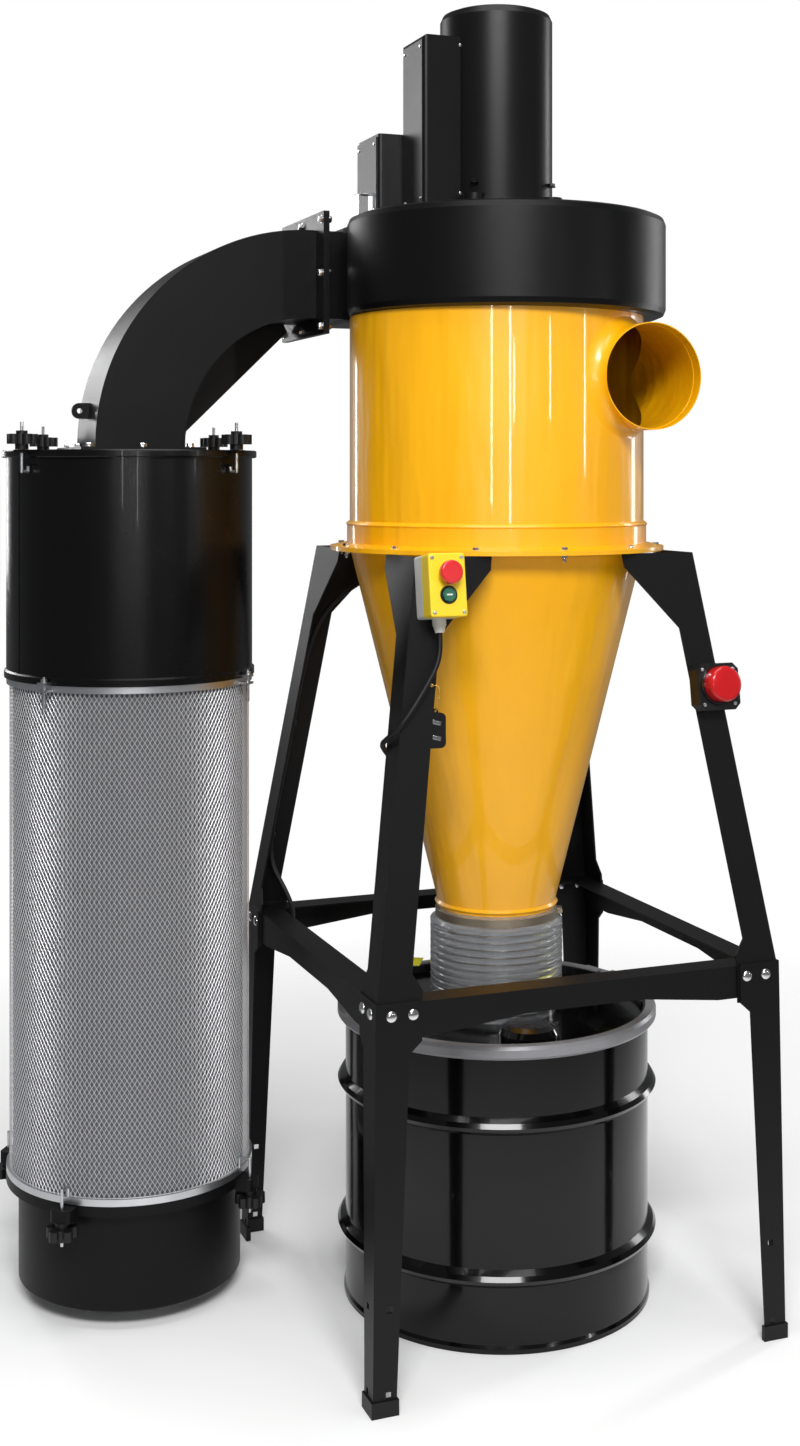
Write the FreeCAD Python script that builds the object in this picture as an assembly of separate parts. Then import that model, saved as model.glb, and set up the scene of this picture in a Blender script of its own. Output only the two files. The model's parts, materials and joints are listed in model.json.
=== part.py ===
"""Free-standing cyclone dust separator with a hanging cartridge filter.

All sizes are in millimetres.  +Z is up and the origin is on the floor, on the
axis of the cyclone and of its drum.  The inlet opens towards -Y; the outlet
duct and the filter lie towards -X.
"""
import math
import os

import FreeCAD, Part

V = FreeCAD.Vector

# ---------------------------------------------------------------- sizes

# cyclone body
BARREL_R = 279.4            # outside radius of the barrel
BARREL_WALL = 4.0
BARREL_TOP_Z = 1838.0
FLANGE_Z = 1403.0           # where the barrel flange meets the cone flange
FLANGE_R = 316.7
FLANGE_T = 4.0
COLLAR_T = 5.0              # turned-out collar above the barrel flange
COLLAR_H = 48.0
CONE_OUTLET_R = 113.0       # outside radius of the cone's spigot
CONE_WALL = 3.0
CONE_BASE_Z = 735.0         # end of the taper
SPIGOT_Z = 700.0            # lower end of the spigot
BEAD_H = 4.0

# inlet
INLET_R = 97.0              # outside radius of the inlet pipe
INLET_WALL = 2.5
INLET_Z = 1718.0
INLET_MOUTH_Y = -292.0
INLET_TUCK = 1.5            # how far the pipe lies inside the barrel's tangent
INLET_SOCKET_WALL = 1.7     # of the sized mouth that takes the duct's spigot
INLET_SOCKET_L = 24.0

# fan
SCROLL_R0 = 280.1           # scroll radius at the tongue
SCROLL_GROWTH = 0.2166      # growth in mm for each degree
TONGUE_DEG = 143.0
FAN_H = 187.0
FAN_ROUND = 14.0
SCROLL_END_X = -252.0
MOTOR_R = 107.0
MOTOR_TOP_Z = 2416.0
MOTOR_FOOT_R = 130.0
MOTOR_FOOT_H = 30.0
CAPACITOR_BOX = (88.0, 112.0, 322.0)     # along X, Y and Z
CONTROL_BOX = (105.0, 118.0, 164.0)

# outlet duct and elbow
DUCT_W = 178.0              # across, along Y
DUCT_H = 170.0
DUCT_WALL = 2.0
DUCT_Z = 1928.0             # centre line of the level part
DUCT_FLANGE_X = -300.0      # joint between the fan flange and the elbow flange
DUCT_FLANGE_W = 270.0
DUCT_FLANGE_H = 235.0
DUCT_FLANGE_T = 6.0
ELBOW_R = 332.0             # centre-line radius of the bend
ELBOW_STUB = 12.0
ELBOW_BASE = (236.0, 244.0, 6.0)

# filter
LID_R = 240.3
LID_T = 3.0
LID_SKIRT = 14.0
PLENUM_R = 232.0
PLENUM_WALL = 2.5
PLENUM_H = 422.0
BAND_R = 236.0
BAND_H = 12.0
FILTER_H = 928.0            # filter element, over both end rings
MESH_R = 226.2
MESH_T = 2.2
MEDIA_R = 219.0
MEDIA_T = 45.0
RING_R = 231.6
RING_H = 12.5
END_CAP_T = 2.0
PAN_R = 209.0
PAN_WALL = 3.0
PAN_H = 176.0
PAN_RIM_H = 25.0
LID_CLAMP_DEG = (36.0, 121.0, 207.0, 308.0)
MID_CLAMP_DEG = (40.0, 130.0, 219.0, 320.0)
PAN_CLAMP_DEG = (52.0, 146.0, 229.0, 319.0)
CLAMP_ROD_R = 3.0
CLAMP_R = 251.0             # radius at which the clamp rods stand
KNOB_R = 29.0
KNOB_H = 18.0
KNOB_BORE_GAP = 0.2
KNOB_SEAT_GAP = 0.3

# drum
DRUM_R = 287.0
DRUM_WALL = 2.5
DRUM_H = 536.0
HOOP_R = 302.0
HOOP_Z = (131.0, 398.0)
CURL_R = 8.0
LOCK_RING_R = 302.5
LOCK_RING_H = 24.0
LID_SINK = 14.0             # how far the lid's panel is dished below its rim
LID_COLLAR_R = 112.0
LID_COLLAR_H = 62.0
PORT_R = 55.0
PORT_X, PORT_Y = -21.0, -192.0
LEVER_DEG = 20.0
LEVER_L = 72.0
LEVER_PIN_R = 3.0
LEVER_PIVOT = (LOCK_RING_R + 9.0, -14.0)     # before turning to the latch's angle
DRUM_LID_T = 2.5
RING_GAP = 0.3

# flexible hose between cone and drum lid
HOSE_R = 125.7
HOSE_WALL = 1.5
HOSE_RIB = 5.0
HOSE_PITCH = 12.5
HOSE_CUFF = 16.0
HOSE_GAP = 0.3             # round the spigot and the collar
HOSE_CLAMP_W = 13.0

# stand
LEG_TOP = 271.5             # half side of the square at the leg tops
LEG_BEND = 383.5            # half side at the bend, over the lower legs
LEG_FOOT = 392.0            # half side on the floor
BEND_Z = 672.0
LEG_T = 3.5
LEG_W = 58.0                # flange width of the upper legs
GUSSET_W = 144.0            # width of the flange under the cyclone
GUSSET_H = 136.0
GUSSET_EDGE = 25.0          # upright end of that wide part
JOINT_W = 80.0              # flange width where legs and braces meet
JOINT_Z = 603.0             # lower end of that wide part
FOOT_W = 41.0
LEG_HOLE = 10.0             # square holes in the lower legs
LEG_HOLE_Z = (34.0, 172.0)
LEG_HOLE_INSET = 31.0       # from the leg's corner
BOOT_H = 26.0
BOOT_T = 3.0
BRACE_TOP_Z = 668.0
BRACE_END_H = 57.0
BRACE_MID_H = 40.0
BRACE_SHELF = 50.0
BRACE_T = 3.0

# switch box, on the front left leg
SWITCH_W = 67.0
SWITCH_D = 66.0
SWITCH_H = 108.0
SWITCH_BASE_D = 32.0
SWITCH_INSET = 4.0          # from the leg's corner
STOP_R = 20.0
START_R = 11.5
STOP_UP = 20.0              # above the middle of the cover
START_DOWN = 17.0
STOP_TRAVEL = 5.0
START_TRAVEL = 4.0
BUTTON_GAP = 0.5
GLAND_R = 12.0
GLAND_H = 24.0
CABLE_R = 4.75
CABLE_FIT = 0.1             # in its clips
CLIP_GAP = 0.5
CLIPPED_RUNS = ((13, "leg_front"), (18, "brace"), (20, "brace"), (25, "leg_back"),
                (27, "leg_back"), (39, "barrel"), (44, "fan"), (49, "fan_top"))
FOB_SIZE = (34.0, 13.0, 60.0)
FOB_TOP_Z = 1134.0
FOB_OUT = 30.0              # how far the remote reaches past the leg's edge

# beacon, on the front right leg
BEACON_W = 84.0
BEACON_D = 30.0
BEACON_Z = 1156.0
BEACON_LENS_R = 32.0
BEACON_LENS_D = 30.0

# values that follow from the ones above
FAN_TOP_Z = BARREL_TOP_Z + FAN_H
CONE_TOP_R = BARREL_R - BARREL_WALL
DUCT_Y = SCROLL_R0 + SCROLL_GROWTH * (450.0 - TONGUE_DEG) - DUCT_W / 2
INLET_X = BARREL_R - INLET_R - INLET_TUCK
FILTER_X = DUCT_FLANGE_X - DUCT_FLANGE_T - ELBOW_STUB - ELBOW_R
FILTER_Y = DUCT_Y
ELBOW_FOOT_Z = DUCT_Z - ELBOW_R - 4.0
LID_TOP_Z = ELBOW_FOOT_Z - ELBOW_BASE[2]
LID_UNDER_Z = LID_TOP_Z - LID_T
PLENUM_Z = LID_UNDER_Z - PLENUM_H
FILTER_Z = PLENUM_Z - FILTER_H
PAN_TOP_Z = FILTER_Z
PAN_Z = PAN_TOP_Z - PAN_RIM_H - PAN_H
LEG_TOP_Z = FLANGE_Z - FLANGE_T
UPPER_SLOPE = (LEG_BEND - LEG_T - LEG_TOP) / (LEG_TOP_Z - BEND_Z)
LOWER_SLOPE = (LEG_FOOT - LEG_BEND) / BEND_Z
SWITCH_TILT = math.degrees(math.atan(UPPER_SLOPE))


# ---------------------------------------------------------------- helpers

def box(x0, x1, y0, y1, z0, z1):
    return Part.makeBox(x1 - x0, y1 - y0, z1 - z0, V(x0, y0, z0))


def rod(r, start, end):
    start, end = V(*start), V(*end)
    return Part.makeCylinder(r, (end - start).Length, start, end - start)


def disc(r, z0, z1, x=0.0, y=0.0):
    return Part.makeCylinder(r, z1 - z0, V(x, y, z0))


def ring(r_out, r_in, z0, z1, x=0.0, y=0.0):
    return disc(r_out, z0, z1, x, y).cut(disc(r_in, z0 - 1, z1 + 1, x, y))


def turned(profile, x=0.0, y=0.0):
    """Solid of revolution about a vertical axis from (radius, height) points."""
    points = [V(r, 0, z) for r, z in profile]
    face = Part.Face(Part.makePolygon(points + [points[0]]))
    solid = face.revolve(V(0, 0, 0), V(0, 0, 1), 360)
    solid.translate(V(x, y, 0))
    return solid


def fused(first, *others):
    solid = first.fuse(list(others)).removeSplitter()
    return solid.Solids[0] if len(solid.Solids) == 1 else solid


def polar(x, y, r, deg):
    a = math.radians(deg)
    return x + r * math.cos(a), y + r * math.sin(a)


def spun(shape, x, y, deg):
    """Copy of a shape drawn on the +X side of (x, y), turned to an angle."""
    copy = shape.copy()
    copy.rotate(V(x, y, 0), V(0, 0, 1), deg)
    return copy


def write(name, shape):
    shape.exportStep(os.path.join("parts", name + ".step"))


# ---------------------------------------------------------------- cyclone

def barrel():
    """Barrel shell with its bottom flange and collar, cut for the inlet."""
    r, w = BARREL_R, BARREL_WALL
    top_collar = FLANGE_Z + COLLAR_H
    shell = turned([
        (r - w, FLANGE_Z), (FLANGE_R, FLANGE_Z), (FLANGE_R, FLANGE_Z + FLANGE_T),
        (r + COLLAR_T, FLANGE_Z + FLANGE_T + 6), (r + COLLAR_T, top_collar - 6),
        (r + COLLAR_T + 2, top_collar - 3), (r + COLLAR_T, top_collar),
        (r, top_collar + 3), (r, BARREL_TOP_Z), (r - w, BARREL_TOP_Z)])
    return shell.cut(rod(INLET_R, (INLET_X, 0, INLET_Z),
                         (INLET_X, INLET_MOUTH_Y - 5, INLET_Z)))


def inlet_pipe():
    """Inlet pipe, let into the barrel wall and open at its mouth."""
    outer = rod(INLET_R, (INLET_X, 0, INLET_Z), (INLET_X, INLET_MOUTH_Y, INLET_Z))
    bore = rod(INLET_R - INLET_WALL, (INLET_X, 1, INLET_Z),
               (INLET_X, INLET_MOUTH_Y - 1, INLET_Z))
    socket = rod(INLET_R - INLET_SOCKET_WALL, (INLET_X, INLET_MOUTH_Y - 1, INLET_Z),
                 (INLET_X, INLET_MOUTH_Y + INLET_SOCKET_L, INLET_Z))
    inside = disc(BARREL_R - BARREL_WALL, FLANGE_Z, BARREL_TOP_Z)
    return outer.cut(bore).cut(socket).cut(inside)


def cone():
    """Cone with its top flange and the spigot that the hose fits over."""
    z1 = FLANGE_Z
    return turned([
        (CONE_TOP_R, z1), (FLANGE_R, z1), (FLANGE_R, z1 - FLANGE_T),
        (CONE_TOP_R + CONE_WALL, z1 - FLANGE_T),
        (CONE_OUTLET_R, CONE_BASE_Z), (CONE_OUTLET_R + BEAD_H, CONE_BASE_Z - 5),
        (CONE_OUTLET_R, CONE_BASE_Z - 10), (CONE_OUTLET_R, SPIGOT_Z),
        (CONE_OUTLET_R - CONE_WALL, SPIGOT_Z), (CONE_OUTLET_R - CONE_WALL, CONE_BASE_Z),
        (CONE_TOP_R, z1 - FLANGE_T)])


def scroll_radius(deg):
    return SCROLL_R0 + SCROLL_GROWTH * (deg - TONGUE_DEG)


def scroll_outline(inset, z):
    """Closed outline of the scroll and its outlet, drawn in by an inset."""
    steps = 22
    spiral = []
    for i in range(steps + 1):
        deg = TONGUE_DEG + (450.0 - TONGUE_DEG) * i / steps
        spiral.append(V(*polar(0, 0, scroll_radius(deg) - inset, deg), z))
    curve = Part.BSplineCurve()
    curve.interpolate(spiral)
    far = SCROLL_END_X + inset
    corner_out = V(far, DUCT_Y + DUCT_W / 2 - inset, z)
    corner_in = V(far, DUCT_Y - DUCT_W / 2 + inset, z)
    return Part.Wire([curve.toShape(), Part.makeLine(spiral[-1], corner_out),
                      Part.makeLine(corner_out, corner_in),
                      Part.makeLine(corner_in, spiral[0])])


def fan_housing():
    """Scroll housing on the barrel, with the neck of its tangential outlet."""
    z0, h, r = BARREL_TOP_Z, FAN_H, FAN_ROUND
    part_way = 0.293 * r
    body = Part.makeLoft([
        scroll_outline(r, z0), scroll_outline(part_way, z0 + part_way),
        scroll_outline(0, z0 + r), scroll_outline(0, z0 + h - r),
        scroll_outline(part_way, z0 + h - part_way), scroll_outline(r, z0 + h)],
        True, True)
    y_in, y_out = DUCT_Y - DUCT_W / 2, DUCT_Y + DUCT_W / 2
    neck = box(DUCT_FLANGE_X + DUCT_FLANGE_T, SCROLL_END_X + 20,
               y_in + 1, y_out - 1, DUCT_Z - DUCT_H / 2, DUCT_Z + DUCT_H / 2)
    flange = box(DUCT_FLANGE_X, DUCT_FLANGE_X + DUCT_FLANGE_T,
                 DUCT_Y - DUCT_FLANGE_W / 2, DUCT_Y + DUCT_FLANGE_W / 2,
                 DUCT_Z - DUCT_FLANGE_H / 2, DUCT_Z + DUCT_FLANGE_H / 2)
    return body.fuse([neck, flange]).Solids[0]


def motor():
    """Motor can on its four-lobed foot flange."""
    z0 = FAN_TOP_Z
    foot = disc(MOTOR_FOOT_R - 16, z0, z0 + MOTOR_FOOT_H)
    lobes = [disc(20, z0, z0 + MOTOR_FOOT_H + 6, *polar(0, 0, MOTOR_FOOT_R - 18, d))
             for d in (45, 135, 225, 315)]
    plate = disc(MOTOR_FOOT_R, z0, z0 + 12)
    can = turned([(0, z0), (MOTOR_R, z0), (MOTOR_R, MOTOR_TOP_Z - 16),
                  (MOTOR_R - 5, MOTOR_TOP_Z - 5), (MOTOR_R - 18, MOTOR_TOP_Z),
                  (0, MOTOR_TOP_Z)])
    return fused(can, foot, plate, *lobes)


def capacitor_box():
    """Tall cover down the -X side of the motor."""
    wx, wy, wz = CAPACITOR_BOX
    x1, z0 = -MOTOR_R + 26, FAN_TOP_Z + MOTOR_FOOT_H / 3
    cover = box(x1 - wx, x1, -wy / 2 + 6, wy / 2 + 6, z0, z0 + wz)
    outer = [e for e in cover.Edges
             if e.BoundBox.XMax < x1 - 1 and e.BoundBox.ZMax > z0 + 1]
    cover = cover.makeFillet(9, outer)
    return cover.cut(motor()).Solids[0]


def control_box_place():
    """Low corner of the control box, on the fan housing beside the motor."""
    wx, wy, _ = CONTROL_BOX
    return -MOTOR_R - 3 - wx, CAPACITOR_BOX[1] / 2 + 6 + 1, FAN_TOP_Z


def control_box():
    x0, y0, z0 = control_box_place()
    wx, wy, wz = CONTROL_BOX
    body = box(x0, x0 + wx, y0, y0 + wy, z0, z0 + wz)
    uprights = [e for e in body.Edges
                if e.BoundBox.ZMax - e.BoundBox.ZMin > wz - 1]
    body = body.makeFillet(6, uprights)
    lid = box(x0 - 4, x0, y0 + 6, y0 + wy - 6, z0 + 8, z0 + wz - 6)
    return fused(body, lid).cut(motor()).Solids[0]


def control_gland_end():
    """Where the cable enters the gland on the back of the control box."""
    x0, y0, z0 = control_box_place()
    return V(x0 + CONTROL_BOX[0] / 2, y0 + CONTROL_BOX[1] + 22, z0 + 40)


def control_gland():
    """Cable gland on the back of the control box."""
    x, y, z = control_gland_end()
    nut = rod(GLAND_R, (x, y - 22, z), (x, y - 12, z))
    cap = rod(GLAND_R - 2, (x, y - 12, z), (x, y, z))
    return fused(nut, cap)


def strap_bracket():
    """Bent strap loop on the fan housing, beside the control box."""
    x, y = control_box_place()[0] - 4 - 30, control_box_place()[1] + 20
    z = FAN_TOP_Z
    loop = box(x, x + 30, y, y + 22, z, z + 52).cut(
        box(x + 2.5, x + 27.5, y - 1, y + 23, z + 2.5, z + 49.5))
    return loop.makeFillet(3, [e for e in loop.Edges if abs(
        e.BoundBox.YMax - e.BoundBox.YMin - 22) < 1e-3 and e.BoundBox.ZMin > z + 51
        and abs(e.BoundBox.XMax - x) < 1e-3])


# ---------------------------------------------------------------- duct

def elbow():
    """Rectangular elbow with both flanges, its gusset and its lifting lug."""
    cx, cz = FILTER_X + ELBOW_R, DUCT_Z - ELBOW_R

    def bend(width, height):
        y0 = DUCT_Y - width / 2
        a = V(cx, y0, cz + ELBOW_R - height / 2)
        pts = [a, a + V(0, width, 0), a + V(0, width, height), a + V(0, 0, height)]
        face = Part.Face(Part.makePolygon(pts + [pts[0]]))
        return face.revolve(V(cx, y0, cz), V(0, -1, 0), 90)

    def straight(width, height):
        level = box(cx, DUCT_FLANGE_X, DUCT_Y - width / 2, DUCT_Y + width / 2,
                    DUCT_Z - height / 2, DUCT_Z + height / 2)
        drop = box(FILTER_X - height / 2, FILTER_X + height / 2,
                   DUCT_Y - width / 2, DUCT_Y + width / 2, LID_TOP_Z, cz)
        return level, drop

    fan_flange = box(DUCT_FLANGE_X - DUCT_FLANGE_T, DUCT_FLANGE_X,
                     DUCT_Y - DUCT_FLANGE_W / 2, DUCT_Y + DUCT_FLANGE_W / 2,
                     DUCT_Z - DUCT_FLANGE_H / 2, DUCT_Z + DUCT_FLANGE_H / 2)
    bx, by, bt = ELBOW_BASE
    base = box(FILTER_X - bx / 2, FILTER_X + bx / 2, DUCT_Y - by / 2, DUCT_Y + by / 2,
               LID_TOP_Z, LID_TOP_Z + bt)
    inner = ELBOW_R - DUCT_H / 2
    y1 = DUCT_Y + DUCT_W / 2
    web = [(cx, cz + inner + 1), (cx + 8, cz + inner - 14), (cx - 8, cz + inner - 30),
           (cx - inner + 46, cz + 30), (cx - inner + 40, ELBOW_FOOT_Z),
           (cx - inner - 1, ELBOW_FOOT_Z), (cx - inner - 1, cz)]
    steps = [(cx - (inner + 1) * math.cos(math.radians(d)),
              cz + (inner + 1) * math.sin(math.radians(d))) for d in range(10, 90, 10)]
    outline = [V(x, y1 - DUCT_WALL, z) for x, z in web + steps]
    gusset = Part.Face(Part.makePolygon(outline + [outline[0]])).extrude(V(0, DUCT_WALL, 0))
    lug_z = cz + 66
    wall_x = cx - math.sqrt((ELBOW_R + DUCT_H / 2) ** 2 - (lug_z - cz) ** 2)
    lug = fused(box(wall_x - 18, wall_x + 3, DUCT_Y - 3, DUCT_Y + 3, lug_z - 16, lug_z + 14),
                rod(15, (wall_x - 18, DUCT_Y - 3, lug_z - 1),
                    (wall_x - 18, DUCT_Y + 3, lug_z - 1)))
    lug = lug.cut(rod(5, (wall_x - 18, DUCT_Y - 4, lug_z - 1),
                      (wall_x - 18, DUCT_Y + 4, lug_z - 1)))
    full = fused(bend(DUCT_W, DUCT_H), *straight(DUCT_W, DUCT_H), fan_flange, base,
                 gusset, lug)
    w, h = DUCT_W - 2 * DUCT_WALL, DUCT_H - 2 * DUCT_WALL
    for hollow in (bend(w, h), *straight(w, h)):
        full = full.cut(hollow)
    return full.Solids[0]


# ---------------------------------------------------------------- filter

def plenum_lid():
    """Flat lid with a rolled rim and four clamp ears, open under the elbow."""
    x, y = FILTER_X, FILTER_Y
    lid = turned([(0, LID_UNDER_Z), (PLENUM_R + 0.3, LID_UNDER_Z),
                  (PLENUM_R + 0.3, LID_TOP_Z - LID_SKIRT), (LID_R - 2, LID_TOP_Z - LID_SKIRT),
                  (LID_R, LID_TOP_Z - LID_SKIRT + 2), (LID_R, LID_TOP_Z - 2),
                  (LID_R - 2, LID_TOP_Z), (0, LID_TOP_Z)], x, y)
    ear = box(x + LID_R - 6, x + CLAMP_R + 9, y - 13, y + 13, LID_TOP_Z - 6, LID_TOP_Z)
    lid = fused(lid, *[spun(ear, x, y, d) for d in LID_CLAMP_DEG])
    for d in LID_CLAMP_DEG:
        lid = lid.cut(disc(CLAMP_ROD_R + 0.3, LID_TOP_Z - 10, LID_TOP_Z + 5,
                           *polar(x, y, CLAMP_R, d)))
    return lid.cut(box(x - DUCT_H / 2 + DUCT_WALL, x + DUCT_H / 2 - DUCT_WALL,
                       y - DUCT_W / 2 + DUCT_WALL, y + DUCT_W / 2 - DUCT_WALL,
                       LID_UNDER_Z - 5, LID_TOP_Z + 5))


def plenum_drum():
    """Sheet drum above the filter element, with hook ears and a bottom band."""
    x, y = FILTER_X, FILTER_Y
    r, w = PLENUM_R, PLENUM_WALL
    shell = turned([(r - w, PLENUM_Z), (BAND_R, PLENUM_Z), (BAND_R, PLENUM_Z + BAND_H),
                    (r, PLENUM_Z + BAND_H + 3), (r, LID_UNDER_Z), (r - w, LID_UNDER_Z)], x, y)
    z = LID_TOP_Z - 30
    ear = box(x + r - 1, x + r + 12, y - 8, y + 8, z, z + 4)
    return fused(shell, *[spun(ear, x, y, d) for d in LID_CLAMP_DEG])


def lid_hooks():
    """Four J-bolts that pull the lid down on the plenum."""
    x, y = FILTER_X, FILTER_Y
    z = LID_TOP_Z - 30
    r = CLAMP_ROD_R
    hook = fused(rod(r, (x + CLAMP_R, y, z - 10), (x + CLAMP_R, y, LID_TOP_Z + 50)),
                 rod(r, (x + CLAMP_R, y, z - 10), (x + PLENUM_R + 5, y, z - 10)),
                 rod(r, (x + PLENUM_R + 5, y, z - 10), (x + PLENUM_R + 5, y, z)),
                 Part.makeSphere(r, V(x + CLAMP_R, y, z - 10)),
                 Part.makeSphere(r, V(x + PLENUM_R + 5, y, z - 10)))
    return Part.Compound([spun(hook, x, y, d) for d in LID_CLAMP_DEG])


def star_knob(x, y, z, up):
    """Five-lobed clamping knob; its hub points at the seat."""
    body = disc(KNOB_R * 0.66, 0, KNOB_H)
    lobes = [disc(KNOB_R * 0.30, 0, KNOB_H, *polar(0, 0, KNOB_R * 0.70, 72 * i))
             for i in range(5)]
    hub = disc(KNOB_R * 0.42, -10, 0)
    cap = disc(KNOB_R * 0.36, KNOB_H, KNOB_H + 6)
    knob = fused(body, hub, cap, *lobes).cut(
        disc(CLAMP_ROD_R + KNOB_BORE_GAP, -20, KNOB_H + 20))
    if not up:
        knob.rotate(V(0, 0, 0), V(1, 0, 0), 180)
    knob.translate(V(x, y, z))
    return knob


def lid_knob(deg):
    return star_knob(*polar(FILTER_X, FILTER_Y, CLAMP_R, deg),
                     LID_TOP_Z + KNOB_SEAT_GAP + 10, True)


def filter_rings():
    """Aluminium end rings of the filter element."""
    x, y = FILTER_X, FILTER_Y
    inner, bore = MESH_R - MESH_T - 1, MEDIA_R - MEDIA_T

    def end(z, up):
        s = 1 if up else -1
        return turned([(bore, z), (RING_R, z), (RING_R, z + s * RING_H),
                       (inner, z + s * RING_H), (inner, z + s * END_CAP_T),
                       (bore, z + s * END_CAP_T)], x, y)

    return Part.Compound([end(PLENUM_Z, False), end(FILTER_Z, True)])


def filter_media():
    """Pleated filter media, as the tube that the pleats fill."""
    return ring(MEDIA_R, MEDIA_R - MEDIA_T, FILTER_Z + END_CAP_T, PLENUM_Z - END_CAP_T,
                FILTER_X, FILTER_Y)


def filter_mesh():
    """Expanded-metal guard round the media, between the end rings."""
    return ring(MESH_R, MESH_R - MESH_T, FILTER_Z + RING_H, PLENUM_Z - RING_H,
                FILTER_X, FILTER_Y)


def mid_clamps():
    """Bolted clips that join the filter element to the plenum."""
    x, y = FILTER_X, FILTER_Y
    upper = box(x + BAND_R, x + BAND_R + 16, y - 10, y + 10, PLENUM_Z + 2, PLENUM_Z + 6)
    lower = box(x + RING_R, x + BAND_R + 16, y - 10, y + 10,
                PLENUM_Z - RING_H + 1, PLENUM_Z - RING_H + 5)
    bolt = rod(3, (x + BAND_R + 9, y, PLENUM_Z - 44), (x + BAND_R + 9, y, PLENUM_Z + 16))
    nut = disc(6, PLENUM_Z + 6, PLENUM_Z + 12, x + BAND_R + 9, y)
    clip = fused(upper, lower, bolt, nut)
    return Part.Compound([spun(clip, x, y, d) for d in MID_CLAMP_DEG])


def filter_pan():
    """Dust pan under the filter element, with a lug for each pan clamp."""
    x, y = FILTER_X, FILTER_Y
    r, w, z1 = PAN_R, PAN_WALL, PAN_TOP_Z
    pan = turned([(0, PAN_Z), (r - 4, PAN_Z), (r, PAN_Z + 4), (r, z1 - PAN_RIM_H - 2),
                  (RING_R, z1 - PAN_RIM_H + 6), (RING_R, z1), (RING_R - w, z1),
                  (RING_R - w, z1 - PAN_RIM_H + 8), (r - w, z1 - PAN_RIM_H),
                  (r - w, PAN_Z + w), (0, PAN_Z + w)], x, y)
    lug = box(x + RING_R - 2, x + CLAMP_R + 11, y - 20, y + 20, z1 - 24, z1 - 2)
    lug = lug.makeFillet(8, [e for e in lug.Edges if e.BoundBox.XMin > x + CLAMP_R
                             and e.BoundBox.ZMax - e.BoundBox.ZMin > 20])
    pan = fused(pan, *[spun(lug, x, y, d) for d in PAN_CLAMP_DEG])
    for d in PAN_CLAMP_DEG:
        pan = pan.cut(disc(CLAMP_ROD_R + 0.3, z1 - 30, z1 + 5, *polar(x, y, CLAMP_R, d)))
    return pan


def pan_hooks():
    """Four J-bolts that hang the pan from the bottom ring of the filter."""
    x, y = FILTER_X, FILTER_Y
    r = CLAMP_ROD_R
    top = FILTER_Z + RING_H + 18
    tip = x + MESH_R + r + 0.2
    hook = fused(rod(r, (x + CLAMP_R, y, PAN_TOP_Z - 68), (x + CLAMP_R, y, top)),
                 rod(r, (x + CLAMP_R, y, top), (tip, y, top)),
                 rod(r, (tip, y, top), (tip, y, FILTER_Z + RING_H)),
                 Part.makeSphere(r, V(x + CLAMP_R, y, top)),
                 Part.makeSphere(r, V(tip, y, top)))
    return Part.Compound([spun(hook, x, y, d) for d in PAN_CLAMP_DEG])


def pan_knob(deg):
    return star_knob(*polar(FILTER_X, FILTER_Y, CLAMP_R, deg),
                     PAN_TOP_Z - 24 - KNOB_SEAT_GAP - 10, False)


# ---------------------------------------------------------------- drum

def drum_shell():
    """Open-head steel drum with two rolling hoops and a curled rim."""
    r, w = DRUM_R, DRUM_WALL
    profile = [(0, 6), (r - 9, 6), (r - 9, 0), (r + 3, 0), (r + 3, 8), (r, 14)]
    for z in HOOP_Z:
        profile += [(r, z - 16), (HOOP_R - 5, z - 8), (HOOP_R, z), (HOOP_R - 5, z + 8),
                    (r, z + 16)]
    profile += [(r, DRUM_H - 2 * CURL_R), (r + CURL_R - 1, DRUM_H - 2 * CURL_R + 3),
                (r + CURL_R, DRUM_H - CURL_R), (r + CURL_R - 3, DRUM_H),
                (r - w, DRUM_H)]
    for z in reversed(HOOP_Z):
        profile += [(r - w, z + 16), (HOOP_R - 5 - w, z + 8), (HOOP_R - w, z),
                    (HOOP_R - 5 - w, z - 8), (r - w, z - 16)]
    profile += [(r - w, 6 + w), (0, 6 + w)]
    return turned(profile)


def drum_lid():
    """Dished lid with the collar that the hose fits over."""
    r, t = DRUM_R, DRUM_LID_T
    z = DRUM_H
    sunk = z - LID_SINK
    collar = LID_COLLAR_R
    top = sunk + LID_COLLAR_H
    return turned([(collar - t, sunk), (r - DRUM_WALL - 6, sunk), (r - DRUM_WALL - 3, z),
                   (r + CURL_R, z), (r + CURL_R, z + t), (r - DRUM_WALL - 6, z + t),
                   (r - DRUM_WALL - 9, sunk + t), (collar, sunk + t), (collar, top),
                   (collar - t, top)])


def lock_ring():
    """Closing ring over the lid and the drum's rim, split at its latch."""
    z0, z1 = lock_ring_span()
    r0 = DRUM_R + CURL_R + RING_GAP
    full = turned([(DRUM_R - 4, z1), (r0, z1), (r0, z0 + 3), (DRUM_R + 4, z0 + 3),
                   (DRUM_R + 4, z0), (LOCK_RING_R - 4, z0), (LOCK_RING_R, z0 + 5),
                   (LOCK_RING_R, z1 - 3), (LOCK_RING_R - 4, z1 + 3), (DRUM_R - 4, z1 + 3)])
    gap = box(DRUM_R - 40, DRUM_R + 60, -6, 6, z0 - 10, z1 + 10)
    x, y = LEVER_PIVOT
    ears = [box(LOCK_RING_R - 3, x + 6, y - 6, y + 6, z, z + 2.5)
            for z in (z0 + 0.5, z1 - 2)]
    pin = disc(LEVER_PIN_R, z0 + 0.5, z1 + 0.5, x, y)
    ring_solid = fused(full.cut(gap), pin, *ears)
    ring_solid.rotate(V(0, 0, 0), V(0, 0, 1), LEVER_DEG)
    return ring_solid


def lock_ring_span():
    """Lower edge and underside of the top of the closing ring."""
    z1 = DRUM_H + DRUM_LID_T + RING_GAP
    return z1 + 3 - LOCK_RING_H, z1


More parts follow.
